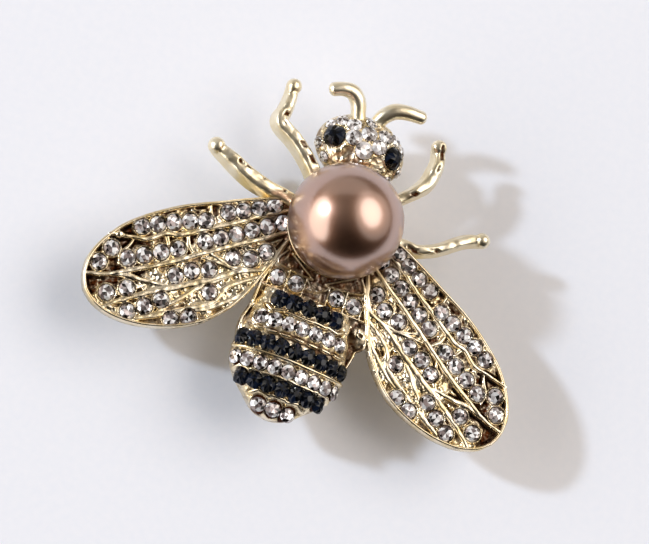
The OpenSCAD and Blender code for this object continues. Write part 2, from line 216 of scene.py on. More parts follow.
def flat_grid(name: str, across: int, along: int) -> Object:
    """Adds a square grid from -1 to 1 that is then shaped by moving its points.

    Args:
        name: Name of the piece that it becomes.
        across: Faces across.
        along: Faces along.

    Returns:
        The grid.
    """
    deselect()
    bpy.ops.mesh.primitive_grid_add(x_subdivisions=across, y_subdivisions=along, size=2)
    bpy.context.active_object.name = name
    return bpy.context.active_object


def grid_shares(grid: Object) -> np.ndarray:
    """Places of a flat grid's points across and along it, from 0 to 1."""
    return (read_points(grid)[:, :2].T + 1) / 2


def smooth_chain(rows: np.ndarray, steps: int) -> np.ndarray:
    """Draws a smooth curve through rows of numbers.

    Args:
        rows: The corners, a row for each.
        steps: Steps from each corner to the next.

    Returns:
        The curve's points, a row for each, with the last corner at its end.
    """
    rows = np.asarray(rows, float)
    padded = np.vstack([rows[0], rows, rows[-1]])
    t = (np.arange(steps) / steps)[:, None]
    parts = []
    for a, b, c, d in zip(padded, padded[1:], padded[2:], padded[3:]):
        parts.append(b + 0.5 * t * (c - a + t * (2 * a - 5 * b + 4 * c - d + t * (3 * b - a - 3 * c + d))))
    return np.vstack(parts + [rows[-1:]])


def to_chain(points: np.ndarray, chain: np.ndarray) -> tuple[np.ndarray, np.ndarray]:
    """Measures how far points lie from a chain.

    Args:
        points: Places, a row for each.
        chain: The chain's corners, a row for each.

    Returns:
        The distance of each point, and its place along the chain from 0 to 1.
    """
    best, place = np.full(len(points), np.inf), np.zeros(len(points))
    lengths = np.linalg.norm(np.diff(chain, axis=0), axis=1)
    run, total = 0.0, lengths.sum()
    for a, b, length in zip(chain, chain[1:], lengths):
        t = np.clip((points - a) @ (b - a) / max(length, 1e-9) ** 2, 0, 1)
        d = np.linalg.norm(points - a - t[:, None] * (b - a), axis=1)
        nearer = d < best
        best[nearer], place[nearer] = d[nearer], ((run + t * length) / total)[nearer]
        run += length
    return best, place


def headings(middle: np.ndarray) -> np.ndarray:
    """Unit directions along a chain of points."""
    ahead = np.gradient(middle, axis=0)
    return ahead / np.linalg.norm(ahead, axis=1)[:, None]


@dataclass(frozen=True)
class Grain:
    """Smooth random field: the width of its lumps in mm, and the seed of its table."""

    width: float
    seed: int
    cells: int = 32

    def at(self, points: np.ndarray) -> np.ndarray:
        """Reads the field.

        Args:
            points: Places in mm, a row for each.

        Returns:
            A value from 0 to 1 for each place.
        """
        table = np.random.default_rng(self.seed).random((self.cells,) * 3)
        p = points / self.width
        i = np.floor(p).astype(int)
        f = p - i
        f = f * f * (3 - 2 * f)
        value = np.zeros(len(points))
        for corner in np.ndindex(2, 2, 2):
            at = (i + corner) % self.cells
            share = np.prod(np.where(np.array(corner) == 1, f, 1 - f), axis=1)
            value += share * table[at[:, 0], at[:, 1], at[:, 2]]
        return value


def ridge(distance: np.ndarray, half: np.ndarray | float, height: np.ndarray | float,
          foot: float = -0.3, power: float = 2.0) -> np.ndarray:
    """Round-topped ridge that rises from its foot over its middle line, and far below beside it."""
    top = foot + (height - foot) * np.sqrt(np.clip(1 - (distance / half) ** power, 0, None))
    return np.where(distance < half, top, -FAR)


def step_up(value: np.ndarray, low: float, high: float) -> np.ndarray:
    """Smooth step from 0 at low to 1 at high."""
    t = np.clip((value - low) / (high - low), 0, 1)
    return t * t * (3 - 2 * t)


def mottled(recess: np.ndarray, fine: np.ndarray) -> np.ndarray:
    """Recess value, mostly painted shade, made a fifth weaker or stronger with the fine grain."""
    return recess * (0.8 + 0.4 * fine)


def painted_pearl_shade(x: np.ndarray, y: np.ndarray, reach: float = 2.7) -> np.ndarray:
    """Share of painted pearl shadow and reflection on the metal beside it, 1 at its foot, 0 past the reach.
    """
    return 1 - step_up(np.hypot(x, y - AT.pearl_y), AT.pearl_r, AT.pearl_r + reach)


def selected_loop(mesh: bmesh.types.BMesh) -> tuple[list[bmesh.types.BMVert], Vector]:
    """Selected vertices of an edit mesh, and their middle."""
    loop = [v for v in mesh.verts if v.select]
    return loop, sum((v.co for v in loop), Vector()) / len(loop)


def close_below(piece: Object, low: float, round_off: float = 0.12, hollow: float = 0.0) -> None:
    """Draws a surface's open edge down to a level and fills its back.

    Args:
        piece: Surface with one open edge.
        low: Level of the back in mm.
        round_off: Width of the rounded lower edge in mm.
        hollow: How deep the back is sunk inside its border, or 0 for a flat back.
    """
    # [level, share of its width that the loop is drawn in to]
    edge_steps = ((low + round_off, 1.0), (low + 0.3 * round_off, 0.996), (low, 0.985))
    # [rise, share] of the border and the sunk field inside it
    hollow_steps = ((0.0, 0.93), (hollow, 0.985)) if hollow else ()
    with editing(piece) as mesh:
        bpy.ops.mesh.select_all(action="SELECT")
        bpy.ops.mesh.remove_doubles(threshold=0.002)
        bpy.ops.mesh.region_to_loop()
        tint = mesh.verts.layers.float_color["recess"]
        for level, draw_in in edge_steps:
            bpy.ops.mesh.extrude_edges_move(TRANSFORM_OT_translate={"value": (0, 0, -0.01)})
            loop, middle = selected_loop(mesh)
            for v in loop:
                v.co.z = level
                # The drawn-down edge gets painted shade
                v[tint] = (UNDERSIDE_SHADE, UNDERSIDE_SHADE, UNDERSIDE_SHADE, 1.0)
            bpy.ops.transform.resize(value=(draw_in, draw_in, 1), center_override=middle)
        bpy.ops.mesh.edge_face_add()
        bpy.ops.mesh.mark_sharp()
        for rise, draw_in in hollow_steps:
            bpy.ops.mesh.extrude_region_move(TRANSFORM_OT_translate={"value": (0, 0, rise)})
            bpy.ops.transform.resize(value=(draw_in, draw_in, 1), center_override=middle)
        face_outwards()


def tube(name: str, rings: np.ndarray) -> Object:
    """Closes a grid round a row of rings into a limb.

    Args:
        name: Name of the piece.
        rings: Corner places, an array of stations, corners and 3; a first or last ring of no width
            closes its end.

    Returns:
        The limb, closed and facing outwards.
    """
    stations, sides, _ = rings.shape
    limb = flat_grid(name, sides, stations - 1)
    move_points(limb, np.concatenate([rings, rings[:, :1]], axis=1).reshape(-1, 3))
    with editing(limb):
        bpy.ops.mesh.select_all(action="SELECT")
        bpy.ops.mesh.remove_doubles(threshold=1e-4)
        face_outwards()
    return limb


def apply_modifier(piece: Object, kind: str, settings: dict) -> None:
    """Adds one modifier to the piece and applies it.

    Args:
        piece: The object that it shapes.
        kind: Blender's name of the modifier type.
        settings: Its properties by name.
    """
    pick(piece)
    modifier = piece.modifiers.new(kind.lower(), kind)
    for key, value in settings.items():
        setattr(modifier, key, value)
    bpy.ops.object.modifier_apply(modifier=modifier.name)


def soften(piece: Object, rounds: int = 2) -> None:
    """Rounds off the steps that a grid leaves along slanting ridges."""
    apply_modifier(piece, "SMOOTH", {"factor": 0.5, "iterations": rounds})


def join(name: str, parts: list[Object]) -> Object:
    """Joins parts into one object.

    Args:
        name: Name of the joined piece.
        parts: Mesh objects, the first of which takes up the others.

    Returns:
        The joined piece.
    """
    deselect()
    for part in parts:
        part.select_set(True)
    bpy.context.view_layer.objects.active = parts[0]
    if len(parts) > 1:
        bpy.ops.object.join()
    parts[0].name = name
    return parts[0]


def finish(piece: Object, dress: Material, slot: str, nodes: tuple[str, ...],
           angle: float = 40) -> None:
    """Scales the piece to metres, shades and dresses it, and ties it to the frame.

    Args:
        piece: The finished shape in mm.
        dress: Its material.
        slot: The record's material slot; not used.
        nodes: CAD nodes that it stands for.
        angle: Edges sharper than this many degrees stay crisp, and at 0 every facet does.
    """
    pick(piece)
    piece.scale = (MM, MM, MM)
    bpy.ops.object.transform_apply(location=True, rotation=True, scale=True)
    if angle:
        bpy.ops.object.shade_smooth_by_angle(angle=math.radians(angle))
    else:
        bpy.ops.object.shade_flat()
    piece.data.materials.clear()
    piece.data.materials.append(dress)
    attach(piece, "root")
    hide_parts(*nodes)
    log.info("%s: %d faces", piece.name, len(piece.data.polygons))


def finish_metal(piece: Object, gold: Material, angle: float = 40) -> None:
    """Finishes a piece of the casting."""
    finish(piece, gold, "gilt_metal", ("casting",), angle)


# Seats of the stones


@dataclass(frozen=True)
class Seat:
    """Place of one cut stone in mm: its girdle's middle, the way its table faces, and its width."""

    centre: np.ndarray
    axis: np.ndarray
    width: float


def loose_solids(node: str) -> Iterator[np.ndarray]:
    """Parts the loose solids of a CAD node.

    Args:
        node: Name of the node.

    Returns:
        The corners of one solid after another, in mm, a row for each corner.
    """
    solids = bmesh.new()
    solids.from_mesh(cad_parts[node].data)
    bmesh.ops.remove_doubles(solids, verts=solids.verts, dist=1e-6)
    seen = set()
    for start in solids.verts:
        if start in seen:
            continue
        group, edge = {start}, [start]
        while edge:
            for link in edge.pop().link_edges:
                for v in link.verts:
                    if v not in group:
                        group.add(v)
                        edge.append(v)
        seen |= group
        yield np.array([v.co for v in group]) / MM
    solids.free()


def read_seats(node: str) -> list[Seat]:
    """Reads where each stone of a CAD node sits, from the shape of its cut solid.

    Args:
        node: Name of a node of cut stones.

    Returns:
        A seat for each stone.
    """
    seats = []
    for corners in loose_solids(node):
        middle = corners.mean(axis=0)
        values, vectors = np.linalg.eigh(np.cov((corners - middle).T))
        lone = int(np.argmax([abs(values[0] - values[1:].mean()), 0, abs(values[2] - values[:2].mean())]))
        axis = vectors[:, lone]
        along = (corners - middle) @ axis
        if abs(along.min()) < abs(along.max()):
            axis, along = -axis, -along
        across = np.linalg.norm((corners - middle) - along[:, None] * axis, axis=1)
        width = 2 * across.max()
        culet = middle + along.min() * axis
        seats.append(Seat(culet + PAVILION * width * axis, axis, width))
    return seats


def gap_to(points: np.ndarray, seats: list[Seat]) -> np.ndarray:
    """Measures how far each point lies outside the nearest stone's edge, across that stone.

    Args:
        points: Places in mm, a row for each.
        seats: The stones' seats.

    Returns:
        A distance for each point, less than 0 inside a stone's edge.
    """
    gap = np.full(len(points), FAR)
    for seat in seats:
        offset = points - seat.centre
        along = offset @ seat.axis
        across = np.sqrt(np.maximum((offset ** 2).sum(axis=1) - along ** 2, 0))
        gap = np.where(np.abs(along) < seat.width, np.minimum(gap, across - seat.width / 2), gap)
    return gap


@dataclass(frozen=True)
class Setting:
    """How the metal is cut round a stone, in mm: a thin lip, the gap inside it and the cone below.

    An uneven setting keeps what already lies deeper than the gap's floor.
    """

    lip_out: float = 0.2
    lip_half: float = 0.1
    lip: float = 0.1
    foot: float = -0.3
    well_half: float = 0.1
    well: float = -0.16
    drop: float = -0.12
    uneven: bool = True

    def cut(self, height: np.ndarray, gap: np.ndarray) -> np.ndarray:
        """Cuts the stones' seats into a field of heights.

        Args:
            height: Height of the metal at each point, in mm.
            gap: Distance of each point outside the nearest stone.

        Returns:
            The new heights.
        """
        height = np.maximum(height, ridge(np.abs(gap - self.lip_out), self.lip_half, self.lip, self.foot))
        well = np.minimum(height, self.well) if self.uneven else self.well
        height = np.where(gap < self.well_half, well, height)
        return np.where(gap < 0, self.drop + 2 * PAVILION * gap, height)


# Finishes


def linear(code: str) -> tuple[float, float, float, float]:
    """Linear colour of an sRGB hex code."""
    parts = [int(code[i:i + 2], 16) / 255 for i in (1, 3, 5)]
    return (*[c / 12.92 if c <= 0.04045 else ((c + 0.055) / 1.055) ** 2.4 for c in parts], 1.0)


def per_metre(grain_mm: float) -> float:
    """Scale of a pattern whose features are a real width in mm."""
    return 1 / (grain_mm * MM)


def add(tree: NodeTree, kind: str, settings: dict | None = None, links: dict | None = None) -> Node:
    """Adds a node with its settings, socket values and links.

    Args:
        tree: Node tree of the material or world.
        kind: Blender's name of the node type.
        settings: Properties of the node, values of its input sockets by name or number, or the stops
            of its colour ramp, each a place and a hex colour.
        links: Output sockets to join to input sockets, by name or number.

    Returns:
        The new node.
    """
    node = tree.nodes.new(kind)
    for key, value in (settings or {}).items():
        if key == "stops":
            band = node.color_ramp.elements
            while len(band) < len(value):
                band.new(1.0)
            for stop, (place, code) in zip(band, value):
                stop.position, stop.color = place, linear(code)
        elif isinstance(key, str) and hasattr(node, key):
            setattr(node, key, value)
        else:
            node.inputs[key].default_value = value
    for key, output in (links or {}).items():
        tree.links.new(output, node.inputs[key])
    return node


def start_material(name: str, constants: dict) -> tuple[Material, NodeTree, Node]:
    """Starts a material.

    Args:
        name: Name of the material.
        constants: Values of the shader's own sockets, by name.

    Returns:
        The material, its node tree and its shader.
    """
    material = bpy.data.materials.new(name)
    material.use_nodes = True
    tree = material.node_tree
    shader = tree.nodes["Principled BSDF"]
    for key, value in constants.items():
        shader.inputs[key].default_value = value
    return material, tree, shader


def connect(tree: NodeTree, shader: Node, outputs: dict) -> None:
    """Joins output sockets to the shader's sockets of the names given."""
    for name, output in outputs.items():
        tree.links.new(output, shader.inputs[name])


@dataclass(frozen=True)
class GoldPlate:
    """Pale gold electroplated on a zinc alloy casting, and lacquered."""

    # The eye gets bright, warm ridges where the casting was tumbled smooth, brown and dull recesses,
    # and reflections that a faint orange peel breaks up. The brown in the recesses is painted shade
    # from the piece's recess attribute; on the cup and the antennae that attribute holds tarnish.
    name: str = "pale_gold_plate"
    bright: str = "#f3e7cf"
    deep: str = "#e0cb9e"
    # Brown that the recess attribute mixes in: painted shade, and tarnish on the cup and antennae
    lacquer: str = "#4c250d"
    roughness: tuple[float, float] = (0.16, 0.31)
    tinted_roughness: float = 0.3
    # Widths in mm of drifts of colour, dull spots and the peel, which is finer on the real plate and
    # drawn coarser to show
    drift_mm: float = 1.6
    spot_mm: float = 0.35
    peel_mm: float = 0.3
    peel_depth: float = 0.02

    def make(self) -> Material:
        """Builds the material.

        Returns:
            The plate, which mixes in painted recess shade, and tarnish, from the piece's own attribute.
        """
        material, tree, shader = start_material(self.name, {"Metallic": 1.0})
        place = {"Vector": add(tree, "ShaderNodeTexCoord").outputs["Object"]}
        drift = add(tree, "ShaderNodeTexNoise", {"Scale": per_metre(self.drift_mm), "Detail": 2.0}, place)
        tone = add(tree, "ShaderNodeValToRGB", {"stops": [(0.35, self.deep), (0.65, self.bright)]},
                   {"Fac": drift.outputs["Fac"]})
        # The recess attribute paints shade, and tarnish, in brown over the plate
        shade_and_tarnish = add(tree, "ShaderNodeAttribute", {"attribute_name": "recess"})
        mixed = add(tree, "ShaderNodeMix", {"data_type": "RGBA", 7: linear(self.lacquer)},
                    {0: shade_and_tarnish.outputs["Fac"], 6: tone.outputs["Color"]})
        spots = add(tree, "ShaderNodeTexNoise", {"Scale": per_metre(self.spot_mm), "Detail": 2.0}, place)
        dull = add(tree, "ShaderNodeMapRange", {"To Min": self.roughness[0], "To Max": self.roughness[1]},
                   {"Value": spots.outputs["Fac"]})
        rough = add(tree, "ShaderNodeMath", {"operation": "MULTIPLY_ADD", 1: self.tinted_roughness},
                    {0: shade_and_tarnish.outputs["Fac"], 2: dull.outputs["Result"]})
        peel = add(tree, "ShaderNodeTexNoise", {"Scale": per_metre(self.peel_mm), "Detail": 3.0}, place)
        bump = add(tree, "ShaderNodeBump", {"Strength": 0.5, "Distance": self.peel_depth * MM},
                   {"Height": peel.outputs["Fac"]})
        connect(tree, shader, {"Base Color": mixed.outputs[2], "Roughness": rough.outputs["Value"],
                               "Normal": bump.outputs["Normal"]})
        return material


@dataclass(frozen=True)
class CutStone:
    """Machine-cut glass: clear stones on a silver foil, or dark navy ones."""

    # The eye gets facets that flash white, grey or black one by one, which is painted reflection: each
    # facet's colour comes from its glint value. A sharp gloss goes over it. The foil behind a clear stone
    # makes it partly metallic.
    name: str
    dark: str
    middle: str
    light: str
    metallic: float
    roughness: float
    coat: float
    specular: float = 0.5

    def make(self) -> Material:
        """Builds the material.

        Returns:
            The glass, whose facets read their painted glint from the piece's own attribute.
        """
        constants = {"Metallic": self.metallic, "Roughness": self.roughness, "Coat Weight": self.coat,
                     "Coat Roughness": 0.02, "Specular IOR Level": self.specular}
        material, tree, shader = start_material(self.name, constants)
        glint = add(tree, "ShaderNodeAttribute", {"attribute_name": "glint"})
        stops = [(0.0, self.dark), (0.5, self.middle), (1.0, self.light)]
        tone = add(tree, "ShaderNodeValToRGB", {"stops": stops}, {"Fac": glint.outputs["Fac"]})
        connect(tree, shader, {"Base Color": tone.outputs["Color"]})
        return material


@dataclass(frozen=True)
class PearlLacquer:
    """Bronze pearl essence sprayed on a round bead, under a clear lacquer."""

    # The eye gets a satin metal glow with soft swirls in it, and two broad, cream highlights. The
    # coat's IOR and roughness are matched to those highlights.
    body: str = "#9a6340"
    swirl: str = "#a76f49"
    swirl_mm: float = 4.0

    def make(self) -> Material:
        """Builds the material.

        Returns:
            The lacquer.
        """
        constants = {"Metallic": 1.0, "Roughness": 0.33, "Coat Weight": 1.0, "Coat Roughness": 0.22,
                     "Coat IOR": 3.0}
        material, tree, shader = start_material("bronze_pearl_lacquer", constants)
        place = {"Vector": add(tree, "ShaderNodeTexCoord").outputs["Object"]}
        swirls = add(tree, "ShaderNodeTexNoise", {"Scale": per_metre(self.swirl_mm), "Detail": 1.0}, place)
        tone = add(tree, "ShaderNodeValToRGB", {"stops": [(0.3, self.body), (0.7, self.swirl)]},
                   {"Fac": swirls.outputs["Fac"]})
        connect(tree, shader, {"Base Color": tone.outputs["Color"]})
        return material


@dataclass(frozen=True)
class PinPlate:
    """Drawn and stamped steel with a thin pale plate."""

    # The eye gets a smooth, greyer metal beside the gold, with small dull spots, which are finer on
    # the real pin and drawn coarser to show.
    pale: str = "#e0d3a6"
    grey: str = "#c4b78f"
    drift_mm: float = 1.2
    spot_mm: float = 0.25
    roughness: tuple[float, float] = (0.2, 0.36)

    def make(self) -> Material:
        """Builds the material.

        Returns:
            The plated steel.
        """
        material, tree, shader = start_material("pale_plated_steel", {"Metallic": 1.0})
        place = {"Vector": add(tree, "ShaderNodeTexCoord").outputs["Object"]}
        drift = add(tree, "ShaderNodeTexNoise", {"Scale": per_metre(self.drift_mm), "Detail": 2.0}, place)
        tone = add(tree, "ShaderNodeValToRGB", {"stops": [(0.35, self.grey), (0.65, self.pale)]},
                   {"Fac": drift.outputs["Fac"]})
        spots = add(tree, "ShaderNodeTexNoise", {"Scale": per_metre(self.spot_mm), "Detail": 4.0}, place)
        rough = add(tree, "ShaderNodeMapRange", {"To Min": self.roughness[0], "To Max": self.roughness[1]},
                    {"Value": spots.outputs["Fac"]})
        connect(tree, shader, {"Base Color": tone.outputs["Color"], "Roughness": rough.outputs["Result"]})
        return material


@dataclass(frozen=True)
class StudioPaper:
    """Seamless white paper, uncoated and calendered."""

    # The eye gets a matt, slightly cool white with a faint tooth.
    white: str = "#edeef4"
    shade: str = "#eaecf3"
    tooth_mm: float = 0.8
    tooth_depth: float = 0.02

    def make(self) -> Material:
        """Builds the material.

        Returns:
            The paper.
        """
        material, tree, shader = start_material("white_studio_paper", {"Roughness": 0.9})
        place = {"Vector": add(tree, "ShaderNodeTexCoord").outputs["Object"]}
        tooth = add(tree, "ShaderNodeTexNoise", {"Scale": per_metre(self.tooth_mm), "Detail": 3.0}, place)
        tone = add(tree, "ShaderNodeValToRGB", {"stops": [(0.3, self.shade), (0.7, self.white)]},
                   {"Fac": tooth.outputs["Fac"]})
        bump = add(tree, "ShaderNodeBump", {"Strength": 0.05, "Distance": self.tooth_depth * MM},
                   {"Height": tooth.outputs["Fac"]})
        connect(tree, shader, {"Base Color": tone.outputs["Color"], "Normal": bump.outputs["Normal"]})
        return material


# The casting


@dataclass
class Wing:
    """One veined wing of the casting, measured in its own frame: s along it, t towards its front edge."""

    side: Side
    seats: list[Seat]
    length: float = 22.4
    width: float = 12.35
    root: tuple[float, float] = (5.0, -2.0)
    sweep_deg: float = 38.0
    fineness: tuple[int, int] = (400, 215)
    # Share of the grid's columns that are evenly spaced, before they crowd towards the tip
    even_share: float = 0.85
    # [half width, height, places along and out] of each knob that only this wing has, in mm
    knobs: tuple = ()
    # [place along, front edge, back edge], shares of the length, the width and the width
    outline: tuple = (
        (-0.10, 0.18, 0.06), (0.00, 0.27, 0.11), (0.09, 0.31, 0.225), (0.18, 0.345, 0.325),
        (0.27, 0.375, 0.425), (0.36, 0.41, 0.50), (0.45, 0.435, 0.54), (0.54, 0.445, 0.555),
        (0.63, 0.445, 0.535), (0.72, 0.43, 0.49), (0.80, 0.39, 0.43), (0.87, 0.335, 0.355),
        (0.93, 0.26, 0.265), (0.97, 0.17, 0.17), (0.99, 0.09, 0.09), (1.00, 0.00, 0.00))
    # [half width, height, places along and out] of each vein, in mm
    veins: tuple = (
        (0.20, 0.30, ((-1, 1.6), (2, 1.9), (5, 1.95), (7.6, 2.2), (9.6, 2.3), (11.4, 2.5), (12.6, 3.0),
                      (14.4, 2.95), (15.8, 3.6), (16.9, 4.1), (18.1, 4.7))),
        (0.22, 0.30, ((-1, -0.5), (3, -0.4), (6, -0.2), (8.7, -0.1), (11.4, 0), (14.2, 0.1), (17.1, 0.45),
                      (19.8, 0.8), (21.6, 1.5))),
        (0.26, 0.28, ((4.1, -3.5), (6.6, -2.95), (9.7, -2.85), (12.6, -2.65), (14.9, -2.4), (17.7, -2.2),
                      (19.8, -2.2), (21.2, -2.35))),
        (0.26, 0.27, ((4.5, -4.1), (8.1, -4.1), (10.2, -5.15), (13.5, -5.0), (16.2, -4.7), (19.2, -4.3))),
        (0.20, 0.25, ((0.4, -1.3), (2.4, -2.6), (3.6, -3.3), (4.6, -3.4), (6.9, -2.3), (8.8, -0.2))),
        (0.18, 0.22, ((6.7, -2.9), (7.6, -1.9), (9.6, -0.5))),
        (0.20, 0.22, ((14.0, -2.3), (15.3, -1.5), (16.5, -0.8), (17.6, 0), (18.9, 0.5), (20.2, 0.95))),
        (0.22, 0.22, ((7.4, -3.1), (11, -3.3), (13.1, -3.8), (14.8, -4.1), (16.3, -4.6))),
        (0.2, 0.22, ((4.6, -4.1), (6.5, -5.1), (8.8, -5.5), (11.4, -5.6), (13.9, -5.0))),
        (0.17, 0.20, ((10.3, 0), (10.5, 1.2), (10.2, 2.3))),
        (0.17, 0.20, ((12.5, 1.8), (12.4, 3.0))),
        (0.18, 0.18, ((8.3, -2.9), (8.5, -4), (9.2, -5.3))),
        (0.15, 0.18, ((7.0, 2.2), (7.3, 3.3), (6.9, 4.6))),
        (0.14, 0.16, ((15.7, 3.5), (16.5, 2.9), (17.6, 2.4), (18.2, 1.4))),
        (0.14, 0.16, ((16.9, -2.3), (17.3, -3.2), (18.4, -3.9))),
        (0.16, 0.18, ((11.9, -0.1), (13.0, -0.9), (14.3, -1.9), (16.4, -2.2))))
    # How much broader a vein's foot is than its listed width, how far it narrows to its ends, how far
    # it wavers, and the level and fullness of its flanks
    vein_broad: float = 1.6
    vein_taper: float = 0.4
    vein_waver: float = 0.35
    vein_foot: float = -0.2
    vein_full: float = 3.5
    # Middle and half width of the raised rim, and its inner foot, which troughs run beside
    rim_in: float = 0.2
    rim_half: float = 0.26
    rim_foot: float = 0.45
    setting: Setting = Setting()
    nuggets: Grain = Grain(0.5, 11)
    fine: Grain = Grain(0.2, 12)
    waver: Grain = Grain(1.1, 13)
    pits: Grain = Grain(0.42, 14)
    troughs: Grain = Grain(1.6, 15)
    # Levels and heights of the cast relief in mm: the cells' floor, its fine grain, the bare metal
    # among the stones and behind the middle, its nuggets and pits, the tip, and the veins' troughs
    cell_floor: float = -0.14
    fine_h: float = 0.08
    bare_h: float = 0.04
    behind_h: float = 0.22
    nugget_h: float = 0.36
    behind_calm: float = 0.1
    pit_depth: float = 0.28
    tip_drop: float = 0.1
    trough_depth: float = 0.4
    crest_h: float = 0.06

    def to_frame(self, s: np.ndarray, t: np.ndarray) -> tuple[np.ndarray, np.ndarray]:
        """Turns places on the wing into the brooch's own.

        Args:
            s: Places along the wing.
            t: Places towards its front edge.

        Returns:
            The x and y of each place.
        """
        turn = math.radians(-self.sweep_deg)
        x = self.root[0] + s * math.cos(turn) - t * math.sin(turn)
        y = self.root[1] + s * math.sin(turn) + t * math.cos(turn)
        return self.side.value * x, y + AT.pearl_y

    def from_frame(self, seat: Seat) -> tuple[float, float]:
        """Turns a stone's place into the wing's own.

        Args:
            seat: The stone's seat.

        Returns:
            Its s and t.
        """
        x = self.side.value * seat.centre[0] - self.root[0]
        y = seat.centre[1] - AT.pearl_y - self.root[1]
        turn = math.radians(self.sweep_deg)
        return x * math.cos(turn) - y * math.sin(turn), x * math.sin(turn) + y * math.cos(turn)

    def edges(self) -> tuple[np.ndarray, np.ndarray]:
        """Front and back edge of the wing, as chains of s and t."""
        rows = smooth_chain(self.outline, 10) * (self.length, self.width, self.width)
        return rows[:, [0, 1]], rows[:, [0, 2]] * (1, -1)

    def raise_veins(self, here: np.ndarray, waver: np.ndarray,
                    nuggets: np.ndarray) -> tuple[np.ndarray, np.ndarray]:
        """Works out the veins and knobs.

        Args:
            here: Places on the wing, a row of s and t for each.
            waver: How much wider or narrower a vein is at each place.
            nuggets: Lumps of the cast metal at each place, about 0.

        Returns:
            Height of the crests, and how far each place lies beside the nearest vein.
        """
        crests, beside = np.full(len(here), -FAR), np.full(len(here), FAR)
        for half, rise, chain in self.veins + self.knobs:
            off, place = to_chain(here, smooth_chain(chain, 5))
            taper = 1 - self.vein_taper + self.vein_taper * np.sin(np.pi * np.clip(place, 0.08, 0.92))
            broad = half * taper * waver * self.vein_broad
            crest = rise * (0.75 + 0.25 * taper) + self.crest_h * nuggets
            crests = np.maximum(crests, ridge(off, broad, crest, self.vein_foot, self.vein_full))
            beside = np.minimum(beside, off - broad)
        return crests, beside

    def relief(self, s: np.ndarray, t: np.ndarray) -> tuple[np.ndarray, np.ndarray]:
        """Works out the wing's front.

        Args:
            s: Places along the wing.
            t: Places towards its front edge.

        Returns:
            Height of the metal over the floor of the cells, and how dark the painted shade in its recesses
            is.
        """
        here = np.column_stack([s, t])
        # The two wings read the random fields at two heights, so that their relief differs
        spot = np.column_stack([s, t, np.full(len(s), 3.0 + self.side.value)])
        front, back = self.edges()
        out, _ = to_chain(here, np.vstack([front, back[::-1]]))
        gap = np.full(len(s), FAR)
        for seat in self.seats:
            gap = np.minimum(gap, np.linalg.norm(here - self.from_frame(seat), axis=1) - seat.width / 2)
        nuggets, fine = self.nuggets.at(spot) - 0.5, self.fine.at(spot)
        pits = step_up(self.pits.at(spot), 0.6, 0.78)
        bare = step_up(gap, 0.15, 0.5)
        behind = step_up(-t - 0.01 * s, 0.0, 1.2)
        tip = step_up(s, 14.5, 17.5) * (1 - 0.6 * behind)
        lumpy = (self.nugget_h - self.behind_calm * behind) * nuggets
        height = self.cell_floor + self.fine_h * (fine - 0.5) + bare * (self.bare_h + self.behind_h * behind)
        height += bare * (lumpy - self.pit_depth * pits) - self.tip_drop * tip * bare
        waver = 1 + self.vein_waver * (self.waver.at(spot) - 0.5)
        crests, beside = self.raise_veins(here, waver, nuggets)
        beside = np.minimum(beside, out - self.rim_foot)
        trough = (1 - step_up(beside, 0.12, 0.3)) * step_up(self.troughs.at(spot) + 0.5 * tip, 0.62, 0.8)
        height = np.maximum(height - self.trough_depth * trough * bare, crests)
        height = self.setting.cut(height, gap)
        height = np.maximum(height, ridge(np.abs(out - self.rim_in), self.rim_half, AT.rim))
        # Painted shade: darker where the metal lies lower, lighter behind the middle, dark rings round the
        # stones, none on the rim
        recess = step_up(-height, 0.03, 0.2) * (0.95 - 0.3 * behind * bare)
        recess = np.maximum(recess, 0.75 * (gap < 0.08)) * step_up(out, 0.1, 0.35)
        return height, mottled(recess, fine)

    def build(self, gold: Material) -> None:
        """Shapes the wing from a grid drawn to its outline, and closes its back.

        Args:
            gold: Plate of the casting.
        """
        wing = flat_grid("wing_" + self.side.name.lower(), *self.fineness)
        u, v = grid_shares(wing)
        even = 2 / (1 + self.even_share) * u
        eased = 1 - (1 - u) ** 2 / (1 - self.even_share ** 2)
        start = self.outline[0][0] * self.length
        s = start + (self.length - start) * np.where(u < self.even_share, even, eased)
        front, back = self.edges()
        lead, trail = np.interp(s, *front.T), np.interp(s, *back.T)
        t = trail + v * (lead - trail)
        height, recess = self.relief(s, t)
        x, y = self.to_frame(s, t)
        move_points(wing, np.column_stack([x, y, AT.floor + height]))
        soften(wing)
        # Painted shadow and reflection of the pearl, stronger where the metal lies low
        lacquer = painted_pearl_shade(x, y) * np.where(height < 0.1, 0.95, 0.6)
        write_tint(wing, "recess", np.maximum(recess, lacquer))
        close_below(wing, AT.back, hollow=0.15)
        finish_metal(wing, gold)


